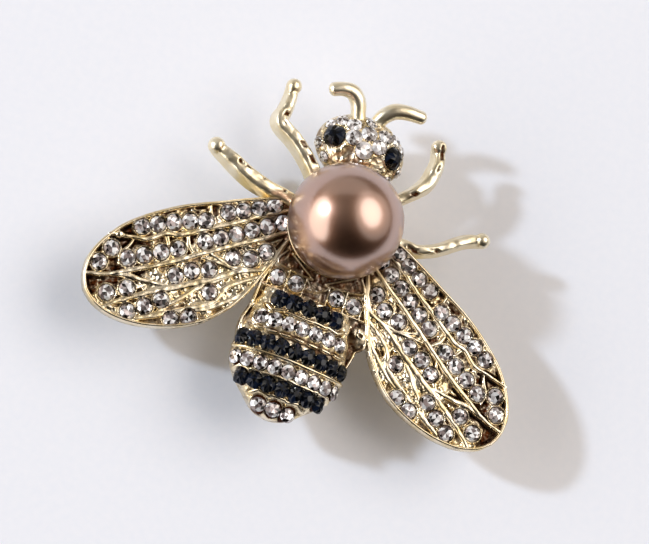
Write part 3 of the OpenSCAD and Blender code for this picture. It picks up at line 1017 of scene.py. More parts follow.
@dataclass
class Collar:
    """Plate between the pearl and the abdomen, with four set stones and the shoulders of the flange."""

    seats: list[Seat]
    fineness: int = 240
    # Height of its back over the casting's, so that no two backs that meet lie in one plane
    back_lift: float = 0.04
    # Size of the hollow as a share of the abdomen's, and the place along it that stays put
    opening: float = 0.79
    pivot: float = 0.31
    # [place down the abdomen, left edge, right edge], shares of its length and its half width
    edges: tuple = (
        (-0.42, 0.78, 0.78), (-0.20, 0.89, 0.89), (-0.08, 0.98, 0.98), (0.00, 1.00, 1.06),
        (0.10, 1.01, 1.13), (0.19, 1.04, 1.15), (0.24, 1.07, 1.03), (0.30, 1.10, 1.01),
        (0.38, 1.10, 0.97), (0.50, 1.05, 0.91))
    # [half width, height, places across and up] of each raised edge of the right half, in mm
    bars: tuple = (
        (0.17, 0.30, ((3.54, -4.49), (0.71, -6.23))),
        (0.17, 0.30, ((0.77, -6.33), (4.66, -5.84), (4.13, -4.28))),
        (0.17, 0.26, ((1.42, -6.23), (0.8, -6.9), (0.12, -7.27))),
        (0.2, 0.26, ((0.18, -8.5), (5.7, -8.5))),
        (0.16, 0.30, ((3.2, -6.2), (3.27, -8.45))),
        (0.14, 0.24, ((1.3, -6.4), (1.35, -8.4))),
        (0.16, 0.28, ((5.2, -6.0), (5.15, -8.4))))
    rim_in: float = 0.16
    rim_half: float = 0.22
    rim_h: float = 0.24
    setting: Setting = Setting(
        lip_out=0.17, lip=0.36, well_half=0.08, well=0.08, drop=0.13, uneven=False)
    nuggets: Grain = Grain(0.55, 21)
    fine: Grain = Grain(0.2, 22)
    swells: Grain = Grain(1.1, 23)
    mottle: Grain = Grain(0.9, 24)
    dents: Grain = Grain(0.5, 25)
    # Levels and heights in mm: the plate's floor and relief, then the shoulders' rougher relief
    plate_floor: float = -0.12
    fine_h: float = 0.1
    bare_h: float = 0.05
    nugget_h: float = 0.5
    shoulder_swell: float = 0.4
    shoulder_nugget: float = 0.7
    dent_depth: float = 0.3

    def relief(self, points: np.ndarray, edge: np.ndarray) -> tuple[np.ndarray, np.ndarray]:
        """Works out the plate's front.

        Args:
            points: Places in mm, a row for each.
            edge: How far each place lies inside the plate's nearer edge.

        Returns:
            Height of the metal over the floor, and how dark the painted shade in its recesses is.
        """
        x, y = points[:, 0], points[:, 1] - AT.pearl_y
        gap = gap_to(points, self.seats)
        nuggets, fine = self.nuggets.at(points) - 0.5, self.fine.at(points)
        bare = step_up(gap, 0.2, 0.5)
        bumps = self.bare_h + self.nugget_h * nuggets
        height = self.plate_floor + self.fine_h * (fine - 0.5) + bare * bumps
        shoulder = step_up(-y, 8.4, 9.0)
        dents = step_up(self.dents.at(points), 0.58, 0.74)
        rough = (self.shoulder_swell * (self.swells.at(points) - 0.5) + self.shoulder_nugget * nuggets
                 - self.dent_depth * dents)
        height = height * (1 - shoulder) + shoulder * rough
        for half, rise, chain in self.bars:
            off, _ = to_chain(np.column_stack([np.abs(x), y]), smooth_chain(chain, 4))
            height = np.maximum(height, ridge(off, half, rise))
        height = np.maximum(height, ridge(np.abs(edge - self.rim_in), self.rim_half, self.rim_h))
        height = self.setting.cut(height, gap)
        # Painted shade in the low places
        recess = step_up(-height, -0.06, 0.14) * 0.85
        # On the shoulders a random mottle, with painted shade added on the right half, in the dents and in
        # low places
        mottle = step_up(self.mottle.at(points), 0.45, 0.65) + 0.6 * (x > 0) + dents
        recess = np.maximum(recess, 0.85 * shoulder * np.minimum(mottle, 1) * (height < 0.2))
        # Painted shadow and reflection of the pearl
        recess = np.maximum(recess, painted_pearl_shade(x, points[:, 1]) * np.where(height < 0.15, 0.9, 0.5))
        # Painted shade in a ring at each stone's edge
        recess = np.maximum(recess, 0.9 * (np.abs(gap - 0.04) < 0.05))
        return height, mottled(recess, fine)

    def build(self, gold: Material) -> None:
        """Shapes the plate from a grid drawn to its two edges, and closes its back.

        Args:
            gold: Plate of the casting.
        """
        plate = flat_grid("collar_and_shoulders", self.fineness, self.fineness)
        u, v = grid_shares(plate)
        rows = smooth_chain(self.edges, 4)
        place = rows[0, 0] + (rows[-1, 0] - rows[0, 0]) * (1 - v)
        left = -AT.abdomen_half * np.interp(place, rows[:, 0], rows[:, 1])
        right = AT.abdomen_half * np.interp(place, rows[:, 0], rows[:, 2])
        x, y = left + u * (right - left), AT.abdomen_y - place * AT.abdomen_len + AT.pearl_y
        # The gaps to the stones are measured a quarter of a millimetre over the floor
        points = np.column_stack([x, y, np.full(len(x), AT.floor + 0.25)])
        height, recess = self.relief(points, np.minimum(x - left, right - x))
        move_points(plate, np.column_stack([x, y, AT.floor + height]))
        soften(plate)
        write_tint(plate, "recess", recess)
        close_below(plate, AT.back + self.back_lift)
        self.open_back(plate)
        finish_metal(plate, gold)

    def open_back(self, plate: Object) -> None:
        """Cuts the abdomen's hollow through the plate.

        Args:
            plate: The closed plate.
        """
        rows = smooth_chain(Abdomen.stations, 4)[:-1]
        half = rows[:, 1] * AT.abdomen_half * self.opening
        place = self.pivot + (rows[:, 0] - self.pivot) * self.opening
        y = AT.abdomen_y + AT.pearl_y - place * AT.abdomen_len
        x = np.concatenate([half, -half[::-1]]) - AT.body_set
        outline = np.column_stack([x, np.concatenate([y, y[::-1]])])
        low, high = AT.back - 1, AT.floor + 1.5
        levels = (low, low, high, high)
        rings = np.array([np.column_stack([outline, np.full(len(outline), z)]) for z in levels])
        rings[[0, 3], :, :2] = outline.mean(axis=0)
        cutter = tube("cutter", rings)
        apply_modifier(plate, "BOOLEAN", {"operation": "DIFFERENCE", "solver": "EXACT", "object": cutter})
        bpy.data.objects.remove(cutter)


@dataclass
class PearlCup:
    """Round bowl of the casting that holds the pearl, turned about the pearl's axis."""

    wall: float = 0.8
    clearance: float = 0.05
    lip: float = 7.15
    sides: int = 96
    tarnish: Grain = Grain(0.8, 31)

    def build(self, gold: Material) -> None:
        """Turns the bowl's section about the axis.

        Args:
            gold: Plate of the casting.
        """
        inner = AT.pearl_r + self.clearance
        outer = inner + self.wall
        stop = math.acos((AT.pearl_z - AT.back) / outer)
        begin = math.acos((AT.pearl_z - self.lip) / inner)
        sweeps = ((outer, np.linspace(0, stop, 20)), (inner, np.linspace(begin, 0, 24)))
        below, inside = ([(r * math.sin(a), AT.pearl_z - r * math.cos(a)) for a in angles]
                         for r, angles in sweeps)
        # [inset from the thorax's edge, level] of the flange's corners
        flange = ((0.2, AT.back - 0.03), (0.04, AT.back + 0.02), (0.0, AT.back + 0.17),
                  (0.0, self.lip - 0.25), (0.03, self.lip - 0.07), (0.1, self.lip), (0.2, self.lip))
        section = below + [(AT.thorax_r - inset, level) for inset, level in flange] + inside
        turn = np.linspace(0, 2 * math.pi, self.sides, endpoint=False)
        rings = [[(r * math.cos(a), r * math.sin(a) + AT.pearl_y, z) for a in turn] for r, z in section]
        cup = tube("pearl_cup", np.array(rings))
        write_tint(cup, "recess", 0.35 * self.tarnish.at(read_points(cup)))
        finish_metal(cup, gold)


@dataclass
class Abdomen:
    """Hollow dome of the tail, with its rows of set stones and the thin wires between them."""

    rows: list[list[Seat]]
    fineness: tuple[int, int] = (200, 240)
    wall_share: float = 0.06
    dome_h: float = 2.5
    back_lift: float = 0.02
    # [place along, half width, height], shares of the length, the half width and the dome's height
    stations: tuple = (
        (0.00, 0.80, 0.60), (0.10, 0.86, 0.74), (0.27, 0.94, 0.90), (0.45, 1.00, 1.00), (0.62, 0.99, 0.98),
        (0.76, 0.81, 0.84), (0.86, 0.58, 0.64), (0.94, 0.39, 0.42), (0.985, 0.21, 0.2), (1.00, 0.03, 0.03))
    # [rise in mm, share of its width that the back is drawn in to] of each step of the hollow
    hollow_steps: tuple = ((0.0, 0.78), (0.25, 0.97), (0.8, 0.92), (0.6, 0.8), (0.3, 0.6))
    # Reach of the wire between two rows, as a difference of their gaps, its foot and rise, how far it
    # sinks the metal beside it, and how far it swings
    wire_half: float = 0.54
    wire_foot: float = -0.34
    wire_rise: float = 0.58
    wire_sink: float = 0.28
    wire_swing: float = 0.3
    setting: Setting = Setting(
        lip_out=0.18, lip_half=0.09, lip=0.04, foot=-0.32, well_half=0.09, well=-0.2, drop=-0.1,
        uneven=False)
    fine: Grain = Grain(0.2, 41)
    cloud: Grain = Grain(0.9, 42)
    nuggets: Grain = Grain(0.45, 43)
    swing: Grain = Grain(1.3, 44)
    cloud_h: float = 0.26
    nugget_h: float = 0.16
    fine_h: float = 0.05

    def relief(self, points: np.ndarray) -> tuple[np.ndarray, np.ndarray]:
        """Works out the dome's surface.

        Args:
            points: Places on the bare dome in mm, a row for each.

        Returns:
            Height of the metal over the bare dome, and how dark the painted shade in its recesses is.
        """
        gaps = np.array([gap_to(points, seats) for seats in self.rows])
        nearest = gaps.min(axis=0)
        fine = self.fine.at(points)
        cloud, nuggets = self.cloud.at(points) - 0.5, self.nuggets.at(points) - 0.5
        height = self.cloud_h * cloud + self.nugget_h * nuggets + self.fine_h * (fine - 0.5)
        swing = self.wire_swing * (self.swing.at(points) - 0.5)
        for first, second in zip(gaps, gaps[1:]):
            both = 1 - step_up(np.maximum(first, second), 0.7, 1.0)
            off = np.abs(first - second + swing) / self.wire_half
            wire = np.sqrt(np.clip(1 - off ** 2, 0, None)) * both
            sunk = height - self.wire_sink * both * (height > -0.2)
            height = np.maximum(sunk, self.wire_foot + self.wire_rise * wire)
        height = self.setting.cut(height, nearest)
        # Painted shade in the low places and between the stones
        recess = np.maximum(step_up(-height, -0.04, 0.16) * 0.95, 1.2 * (nearest < 0.12))
        return height, mottled(recess, fine)

    def build(self, gold: Material) -> None:
        """Bends a grid over the dome, sinks the seats along its normals and hollows its back.

        Args:
            gold: Plate of the casting.
        """
        dome = flat_grid("abdomen", *self.fineness)
        u, v = grid_shares(dome)
        rows = smooth_chain(self.stations, 6)
        half = np.interp(u, rows[:, 0], rows[:, 1]) * AT.abdomen_half
        top = np.interp(u, rows[:, 0], rows[:, 2]) * self.dome_h
        share = self.wall_share
        angle = np.pi * np.clip((v - share) / (1 - 2 * share), 0, 1)
        drop = np.clip(np.maximum(share - v, v - 1 + share) / share, 0, 1) * (AT.floor - AT.back - 0.12)
        places = np.column_stack([
            -half * np.cos(angle) - AT.body_set, AT.pearl_y + AT.abdomen_y - u * AT.abdomen_len,
            AT.floor + top * np.sin(angle) - drop])
        normals = np.column_stack([-np.cos(angle) * top, np.zeros(len(u)), np.sin(angle) * half])
        normals /= np.maximum(np.linalg.norm(normals, axis=1), 1e-9)[:, None]
        height, recess = self.relief(places)
        # The relief fades out where the tail narrows to its point, and stops at the wall
        calm = step_up(half, 0.3, 1.4) * (drop == 0)
        move_points(dome, places + normals * (height * calm)[:, None])
        soften(dome, 1)
        write_tint(dome, "recess", recess)
        close_below(dome, AT.back + self.back_lift)
        self.hollow_out(dome)
        finish_metal(dome, gold)

    def hollow_out(self, dome: Object) -> None:
        """Pushes the flat back up into the dome, in steps that follow its crown.

        Args:
            dome: The closed dome.
        """
        with editing(dome) as mesh:
            bpy.ops.mesh.select_all(action="DESELECT")
            back = max(mesh.faces, key=lambda f: len(f.verts))
            back.select_set(True)
            mesh.faces.active = back
            for rise, draw_in in self.hollow_steps:
                bpy.ops.mesh.extrude_region_move(TRANSFORM_OT_translate={"value": (0, 0, rise)})
                _, middle = selected_loop(mesh)
                bpy.ops.transform.resize(value=(draw_in, draw_in, 1), center_override=middle)
            bpy.ops.mesh.poke()
            face_outwards()


@dataclass
class Head:
    """Domed head, paved with clear stones round two dark eyes."""

    seats: list[Seat]
    fineness: int = 150
    back_lift: float = 0.01
    round_off: float = 0.03
    setting: Setting = Setting(lip=0.06)
    nuggets: Grain = Grain(0.5, 51)
    fine: Grain = Grain(0.18, 52)
    skin_floor: float = -0.1
    fine_h: float = 0.06
    bare_h: float = 0.04
    nugget_h: float = 0.36

    def relief(self, points: np.ndarray) -> tuple[np.ndarray, np.ndarray]:
        """Works out the dome's surface.

        Args:
            points: Places on the bare dome in mm, a row for each.

        Returns:
            Height of the metal over the bare dome, and how dark the painted shade in its recesses is.
        """
        gap = gap_to(points, self.seats)
        bare = step_up(gap, 0.15, 0.4)
        bumps = self.bare_h + self.nugget_h * (self.nuggets.at(points) - 0.5)
        height = self.skin_floor + self.fine_h * (self.fine.at(points) - 0.5) + bare * bumps
        height = self.setting.cut(height, gap)
        # Painted shade in the low places and at each stone's edge, and painted shadow and reflection of the
        # pearl
        recess = np.maximum(step_up(-height, 0.0, 0.16) * 0.7, 0.85 * (np.abs(gap - 0.04) < 0.06))
        return height, np.maximum(recess, 0.6 * painted_pearl_shade(points[:, 0], points[:, 1], 1.0))

    def build(self, gold: Material) -> None:
        """Bends a grid over the head's dome and sinks the seats along its normals.

        Args:
            gold: Plate of the casting.
        """
        dome = flat_grid("head", self.fineness, self.fineness)
        a, b = read_points(dome)[:, :2].T
        across, along = a * np.sqrt(1 - b * b / 2), b * np.sqrt(1 - a * a / 2)
        out = np.hypot(across, along)
        turn = np.arcsin(np.clip(out, 0, 1)) * 0.5 + out * math.pi / 4
        swing = np.sin(turn) / np.maximum(out, 1e-9)
        sizes = np.array([AT.head_half, AT.head_half_len, AT.head_h])
        sphere = np.column_stack([across * swing, along * swing, np.cos(turn)])
        places = sphere * sizes + (-AT.body_set, AT.head_y + AT.pearl_y, AT.back)
        normals = sphere / sizes
        normals /= np.linalg.norm(normals, axis=1)[:, None]
        height, recess = self.relief(places)
        calm = step_up(1 - out, 0.0, 0.06)
        move_points(dome, places + normals * (height * calm)[:, None])
        write_tint(dome, "recess", recess)
        close_below(dome, AT.back + self.back_lift, round_off=self.round_off)
        finish_metal(dome, gold)


@dataclass
class Leg:
    """One cast leg: a ridge with sloping walls that runs from knuckle to knuckle to a round toe."""

    name: str
    root_deg: float
    # [across, along, height, width] at each knuckle from the leg's root, in mm
    knuckles: tuple
    toe_share: float = 1.3
    stout: float = 1.12
    voxel: float = 0.1
    back_lift: float = 0.03
    # [across, up] of the section's corners, shares of its width and height
    section: tuple = (
        (-0.5, 0.0), (-0.51, 0.16), (-0.45, 0.45), (-0.36, 0.76), (-0.27, 0.94), (-0.1, 1.0), (0.1, 1.0),
        (0.27, 0.95), (0.35, 0.76), (0.42, 0.45), (0.49, 0.16), (0.5, 0.0), (0.25, 0.0), (-0.25, 0.0))
    # Place of the row of pits across the leg, a share of its width
    pit_row: float = 0.16
    dents: Grain = Grain(0.8, 61)
    fine: Grain = Grain(0.3, 62)
    pits: Grain = Grain(0.6, 63)
    dent_h: float = 0.2
    pit_depth: float = 0.22

    def loft(self, middle: np.ndarray, right: np.ndarray, rows: np.ndarray) -> Object:
        """Lofts the ridge, adds the toe and fuses them.

        Args:
            middle: Places along the leg's middle line.
            right: Directions across it.
            rows: [across, along, height, width] at each place.

        Returns:
            The leg, smooth.
        """
        shape = np.array(self.section)
        wide = shape[None, :, :1] * self.stout * rows[:, None, 3:4]
        flat = middle[:, None, :] + right[:, None, :] * wide
        rings = np.concatenate([flat, AT.back + shape[None, :, 1:] * rows[:, None, 2:3]], axis=2)
        ends = [np.repeat(ring.mean(axis=0)[None], len(shape), axis=0) for ring in (rings[0], rings[-1])]
        back = tube(self.name, np.concatenate([ends[:1], rings, ends[1:]]))
        toe_r = self.toe_share * rows[-1, 3] / 2
        deselect()
        bpy.ops.mesh.primitive_uv_sphere_add(
            segments=24, ring_count=16, radius=toe_r, location=(*middle[-1], AT.back + toe_r))
        toe = bpy.context.active_object
        bpy.ops.object.transform_apply(location=True)
        leg = join(self.name, [back, toe])
        apply_modifier(leg, "REMESH", {"mode": "VOXEL", "voxel_size": self.voxel})
        apply_modifier(leg, "CORRECTIVE_SMOOTH", {"iterations": 2, "use_only_smooth": True})
        return leg

    def build(self, gold: Material) -> None:
        """Builds the leg and works its surface over.

        Args:
            gold: Plate of the leg.
        """
        turn = math.radians(self.root_deg)
        rows = smooth_chain(self.knuckles, 6)
        root = np.array([AT.thorax_r * math.cos(turn), AT.thorax_r * math.sin(turn) + AT.pearl_y])
        middle = rows[:, :2] + root
        ahead = headings(middle)
        right = np.column_stack([ahead[:, 1], -ahead[:, 0]])
        leg = self.loft(middle, right, rows)
        points = read_points(leg)
        off, _ = to_chain(points[:, :2], middle + self.pit_row * right * rows[:, 3:4])
        wall = step_up(points[:, 2], AT.back + 0.15, AT.back + 0.5)
        pits = step_up(self.pits.at(points), 0.56, 0.7) * (1 - step_up(off, 0.12, 0.34)) * wall
        # The pits get painted shade
        tint = pits * (0.7 + 0.6 * self.fine.at(points))
        points[:, 2] += self.dent_h * (self.dents.at(points) - 0.5) * wall - self.pit_depth * pits
        points[:, 2] = np.maximum(points[:, 2], AT.back + self.back_lift)
        move_points(leg, points)
        write_tint(leg, "recess", tint)
        finish_metal(leg, gold, 60)


@dataclass
class Antenna:
    """One round, polished antenna with a blunt end."""

    side: Side
    # [across, along, height, thickness] at each bend, in mm, from the head's brow
    bends: tuple
    brow_y: float = 12.03
    stout: float = 1.1
    sides: int = 24
    # [share of the end's width, reach past it as a share of the thickness] of the rings of its tip
    tip: tuple = ((0.93, 0.1), (0.76, 0.23), (0.46, 0.33), (0.0, 0.37))
    swells: Grain = Grain(1.0, 71)
    tarnish: Grain = Grain(0.6, 72)
    swell_h: float = 0.05

    def build(self, gold: Material) -> None:
        """Sweeps a round section along the bends and blunts its end.

        Args:
            gold: Plate of the antenna.
        """
        rows = smooth_chain(self.bends, 8)
        middle = rows[:, :3] + (-AT.body_set, self.brow_y + AT.pearl_y, AT.back)
        ahead = headings(middle)
        flat = np.cross(ahead, (0, 0, 1))
        flat /= np.linalg.norm(flat, axis=1)[:, None]
        up = np.cross(flat, ahead)
        turn = np.linspace(0, 2 * math.pi, self.sides, endpoint=False)
        rings = [m + r * self.stout * 0.5 * (np.cos(turn)[:, None] * f + np.sin(turn)[:, None] * w)
                 for m, r, f, w in zip(middle, rows[:, 3], flat, up)]
        last, end = middle[-1], rings[-1]
        for share, reach in self.tip:
            rings.append(last + ahead[-1] * reach * rows[-1, 3] + share * (end - last))
        rings.insert(0, np.repeat(middle[:1], self.sides, axis=0))
        feeler = tube("antenna_" + self.side.name.lower(), np.array(rings))
        points = read_points(feeler)
        move_points(feeler, points + self.swell_h * (self.swells.at(points) - 0.5)[:, None])
        write_tint(feeler, "recess", 0.15 * step_up(self.tarnish.at(points), 0.6, 0.9))
        finish_metal(feeler, gold, 60)


# Stones, pearl and pin


@dataclass
class Stones:
    """Cut stones of one CAD node, each in its own seat."""

    name: str
    node: str
    kind: StoneKind
    swell: tuple[float, float]
    seed: int
    facets: int = 8
    tilt_deg: float = 3.0
    girdle: float = 0.03
    # Painted brightness of a facet: the middle value, the rays' strength, what the outer facets add, and
    # chance
    glint: float = 0.47
    ray: float = 0.46
    outer: float = 0.12
    sparkle: float = 0.4

    def ring(self, radius: float, z: float, count: int,
             first: float = 0) -> list[tuple[float, float, float]]:
        """Corners on a round or cushion outline.

        Args:
            radius: Half of its width.
            z: Its height.
            count: How many corners it has.
            first: Place of the first corner, in steps from one corner to the next.

        Returns:
            The corners in order.
        """
        corners, square = [], self.kind.value.square
        for k in range(count):
            x, y = (f(2 * math.pi * (k + first) / count) for f in (math.cos, math.sin))
            reach = radius / (abs(x) ** square + abs(y) ** square) ** (1 / square)
            corners.append((reach * x, reach * y, z))
        return corners

    def cut(self) -> Object:
        """Cuts one stone of width 1: table, stars, kites, girdle facets and pavilion.

        Returns:
            The stone, with its girdle's upper edge at height 0.
        """
        shape, n = self.kind.value, self.facets
        corners = ([(0, 0, shape.crown)] + self.ring(shape.table, shape.crown, n)
                   + self.ring(shape.star, shape.star_rise, n, 0.5) + self.ring(0.5, 0.0, 2 * n)
                   + self.ring(0.5, -self.girdle, 2 * n) + [(0, 0, -PAVILION)])
        table, star, girdle, lower, culet = 1, 1 + n, 1 + 2 * n, 1 + 4 * n, 1 + 6 * n
        faces = []
        for k in range(n):
            after, before = (k + 1) % n, (k - 1) % n
            g, g1, g2 = ((2 * k + step) % (2 * n) for step in range(3))
            pairs = ((g, g1), (g1, g2))
            faces += [(0, table + k, table + after), (table + k, star + k, table + after),
                      (table + k, star + before, girdle + g, star + k)]
            faces += [(star + k, girdle + a, girdle + b) for a, b in pairs]
            faces += [(girdle + a, lower + a, lower + b, girdle + b) for a, b in pairs]
            faces += [(lower + a, culet, lower + b) for a, b in pairs]
        mesh = bpy.data.meshes.new(self.name)
        mesh.from_pydata(corners, [], faces)
        stone = bpy.data.objects.new(self.name, mesh)
        bpy.context.collection.objects.link(stone)
        return stone

    def build(self, glass: Material) -> None:
        """Copies the cut stone into each seat, turned and tilted a little, and joins the copies.

        Args:
            glass: Material of the stones.
        """
        chance = np.random.default_rng(self.seed)
        model = self.cut()
        wide, tall = self.swell
        grow = Matrix.Diagonal((wide, tall, (wide + tall) / 2, 1))
        copies = []
        for seat in read_seats(self.node):
            copy = model.copy()
            copy.data = model.data.copy()
            bpy.context.collection.objects.link(copy)
            axis = Vector(seat.axis) + Vector(chance.normal(0, math.radians(self.tilt_deg), 3))
            turn = axis.to_track_quat("Z", "Y").to_matrix().to_4x4()
            # The squarer navy stones keep in line
            spin_by = chance.uniform(0, 2 * math.pi) * (self.kind is not StoneKind.NAVY)
            turn = turn @ Matrix.Rotation(spin_by, 4, "Z") @ Matrix.Scale(seat.width, 4)
            copy.data.transform(Matrix.Translation(seat.centre) @ grow @ turn)
            copies.append(copy)
        bpy.data.objects.remove(model)
        stones = join(self.name, copies)
        with editing(stones):
            face_outwards()
        self.give_glints(stones, len(copies), chance)
        finish(stones, glass, self.kind.slot, (self.node,), angle=0)

    def give_glints(self, stones: Object, count: int, chance: np.random.Generator) -> None:
        """Paints reflections: gives each facet one value, in bright and dark rays about its stone's middle.

        Args:
            stones: The joined stones, with their facets in order.
            count: How many stones they are.
            chance: Source of the random values.
        """
        values = np.empty(len(stones.data.loops))
        faces = stones.data.polygons
        share = len(faces) // count
        for first in range(0, len(faces), share):
            group = [faces[first + k] for k in range(share)]
            middle = sum((face.center for face in group), Vector()) / share
            phase, rays = chance.uniform(0, 2 * math.pi), chance.integers(2, 4)
            reach = max((face.center - middle).length for face in group)
            for face in group:
                off = face.center - middle
                ray = math.sin(rays * math.atan2(off.y, off.x) + phase)
                glint = self.glint + self.ray * ray + self.outer * (off.length > 0.6 * reach)
                glint += chance.normal(0, self.sparkle)
                values[face.loop_start:face.loop_start + face.loop_total] = glint
        write_tint(stones, "glint", values, "CORNER")


@dataclass
class Pearl:
    """Round bead, half drilled from below for the post that it is glued on."""

    segments: int = 128
    drill_r: float = 0.5
    drill_depth: float = 3.0

    def build(self, lacquer: Material) -> None:
        """Adds the bead and drills it.

        Args:
            lacquer: Material of the bead.
        """
        centre = Vector((0, AT.pearl_y, AT.pearl_z))
        deselect()
        bpy.ops.mesh.primitive_uv_sphere_add(
            segments=self.segments, ring_count=self.segments // 2, radius=AT.pearl_r, location=centre)
        bead = bpy.context.active_object
        bead.name = "pearl_bead"
        bpy.ops.object.transform_apply(location=True)
        with editing(bead) as mesh:
            bpy.ops.mesh.select_all(action="DESELECT")
            for face in mesh.faces:
                off = face.calc_center_median() - centre
                face.select_set(off.z < 0 and math.hypot(off.x, off.y) < self.drill_r)
            bpy.ops.mesh.extrude_region_move(TRANSFORM_OT_translate={"value": (0, 0, self.drill_depth)})
            face_outwards()
        finish(bead, lacquer, "bronze_pearl", ("pearl",), angle=50)


@dataclass
class PinBack:
    """Pin behind the brooch: hinge with a coiled barrel, stem, and a bent catch, on round pads."""

    span: float = 23.0
    width: float = 4.6
    pad_t: float = 0.6
    pad_gap: float = 0.05
    strip: float = 0.6
    # How far the strips reach up into the pads, and how far an edge is set in so that no two faces
    # lie in one plane
    overlap: float = 0.3
    inset: float = 0.03
    reach: float = 1.3
    stem_r: float = 0.4
    stem_z: float = 0.9
    pivot_r: float = 0.5
    coil_r: float = 0.8
    coils: int = 5
    coil_t: float = 0.6
    coil_gap: float = 0.06
    # [place past the catch, radius] of each ring of the stem's point
    point: tuple = ((0.4, 0.36), (0.8, 0.24), (1.15, 0.1), (1.2, 0.0))
    parts: list[Object] = field(default_factory=list)

    def keep(self, bevel: float) -> None:
        """Applies the new part's place, rounds its edges and adds it to the pin.

        Args:
            bevel: Width of the rounded edges.
        """
        part = bpy.context.active_object
        bpy.ops.object.transform_apply(location=True, rotation=True, scale=True)
        apply_modifier(part, "BEVEL", {"width": bevel, "segments": 3})
        self.parts.append(part)

    def block(self, low: tuple, high: tuple, bevel: float) -> None:
        """Adds a strip of sheet.

        Args:
            low: Its lowest corner.
            high: Its highest corner.
            bevel: Width of its rounded edges.
        """
        deselect()
        middle = [(a + b) / 2 for a, b in zip(low, high)]
        bpy.ops.mesh.primitive_cube_add(size=1, location=middle)
        bpy.context.active_object.scale = [b - a for a, b in zip(low, high)]
        self.keep(bevel)

    def rod(self, radius: float, start: tuple, end: tuple, bevel: float) -> None:
        """Adds a round part.

        Args:
            radius: Its radius.
            start: Middle of its first end.
            end: Middle of its other end.
            bevel: Width of its rounded edges.
        """
        deselect()
        a, b = Vector(start), Vector(end)
        bpy.ops.mesh.primitive_cylinder_add(
            vertices=40, radius=radius, depth=(b - a).length, location=(a + b) / 2,
            rotation=(b - a).to_track_quat("Z", "Y").to_euler())
        self.keep(bevel)

    def add_hinge(self, x: float, y0: float, y1: float, top: float) -> None:
        """Adds the hinge's two strips, its pivot and its coils.

        Args:
            x: Its middle.
            y0: Its lower edge.
            y1: Its upper edge.
            top: Height that its strips end at.
        """
        for y in (y0, y1 - self.strip):
            self.block((x - self.reach, y, 0), (x + self.reach, y + self.strip, top), 0.2)
        self.rod(self.pivot_r, (x, y0 + 0.05, self.stem_z), (x, y1 - 0.05, self.stem_z), 0.12)
        for k in range(self.coils):
            y = y0 + self.strip + 0.1 + k * (self.coil_t + self.coil_gap)
            self.rod(self.coil_r, (x, y, self.stem_z), (x, y + self.coil_t, self.stem_z), 0.25)

    def add_catch(self, x: float, y0: float, y1: float, top: float) -> None:
        """Adds the catch: a floor, a tall side and a lower side that the stem slips over.

        Args:
            x: Its middle.
            y0: Its lower edge.
            y1: Its upper edge.
            top: Height that its tall side ends at.
        """
        step = self.inset
        self.block((x - self.reach, y0 + step, 0), (x + self.reach, y1 - step, self.strip), 0.2)
        near, far = x - self.reach + step, x + self.reach - step
        self.block((near, y0, step), (far, y0 + self.strip, top), 0.2)
        self.block((near, y1 - self.strip, step), (far, y1, self.stem_z + 0.8), 0.25)

    def add_stem(self, start: float, end: float) -> None:
        """Adds the stem and its point.

        Args:
            start: Where it leaves the hinge.
            end: Where its point begins.
        """
        turn = np.linspace(0, 2 * math.pi, 24, endpoint=False)
        rows = [(start, 0.0), (start, self.stem_r), (end, self.stem_r)]
        rows += [(end + past, r) for past, r in self.point]
        rings = [[(x, AT.pin_y + r * math.cos(a), self.stem_z + r * math.sin(a)) for a in turn]
                 for x, r in rows]
        self.parts.append(tube("stem", np.array(rings)))

    def build(self, steel: Material) -> None:
        """Builds the pads, the hinge, the catch and the stem, and joins them.

        Args:
            steel: Plate of the pin.
        """
        y0, y1 = AT.pin_y - self.width / 2, AT.pin_y + self.width / 2
        pad_z = AT.back - self.pad_gap - self.pad_t
        left, right = -self.span / 2, self.span / 2
        for x in (left, right):
            self.rod(self.width / 2, (x, AT.pin_y, pad_z), (x, AT.pin_y, pad_z + self.pad_t), 0.15)
        self.add_hinge(left, y0, y1, pad_z + self.overlap)
        self.add_catch(right, y0, y1, pad_z + self.overlap)
        self.add_stem(left, right + self.reach)
        pin = join("pin_back_dressed", self.parts)
        finish(pin, steel, "pin_metal", ("pin_back",), angle=35)


# Studio


def stand_at(thing: Object, spot: Vector, columns: list[np.ndarray]) -> None:
    """Puts a camera or a light in the scene, at a spot in metres, turned to three axes."""
    bpy.context.scene.collection.objects.link(thing)
    thing.matrix_world = Matrix.Translation(spot) @ Matrix(np.column_stack(columns).tolist()).to_4x4()


def unit(way: np.ndarray) -> np.ndarray:
    """The same direction with length 1."""
    return way / np.linalg.norm(way)


@dataclass(frozen=True)
class Softbox:
    """One elliptical softbox that faces the pearl."""

    name: str
    # Direction from the pearl, as the camera's right, up and back
    way: tuple[float, float, float]
    distance: float
    size: tuple[float, float]
    watts: float
    colour: str

    def place(self, axes: np.ndarray) -> None:
        """Adds the light.

        Args:
            axes: The camera's right, up and back directions, a row for each.
        """
        data = bpy.data.lights.new(self.name, "AREA")
        data.shape, data.size, data.size_y = "ELLIPSE", *self.size
        data.energy, data.color = self.watts, linear(self.colour)[:3]
        direction = unit(np.array(self.way) @ axes)
        across = unit(np.cross(axes[1], direction))
        spot = Vector((0, AT.pearl_y, AT.pearl_z)) * MM + Vector(direction) * self.distance
        light = bpy.data.objects.new(self.name, data)
        stand_at(light, spot, [across, np.cross(direction, across), direction])


# The key gives the shadow, and the cards and the glow fill in round it
SOFTBOXES = (
    Softbox("key", (-0.66, 0.38, 0.66), 2.6, (0.2, 0.22), 37.5, "#dcecff"),
    Softbox("left_card", (-0.80, 0.08, 0.56), 1.4, (1.12, 2.35), 15.6, "#fdf5ed"),
    Softbox("right_card", (0.78, 0.26, 0.58), 1.4, (1.14, 1.4), 9.3, "#fdf6ef"),
    Softbox("right_glow", (0.84, 0.18, 0.50), 1.5, (2.5, 2.8), 10.5, "#fdf5ed"),
    Softbox("back_card", (0.0, 0.97, 0.25), 1.4, (2.4, 1.1), 2.6, "#fdf6ef"))


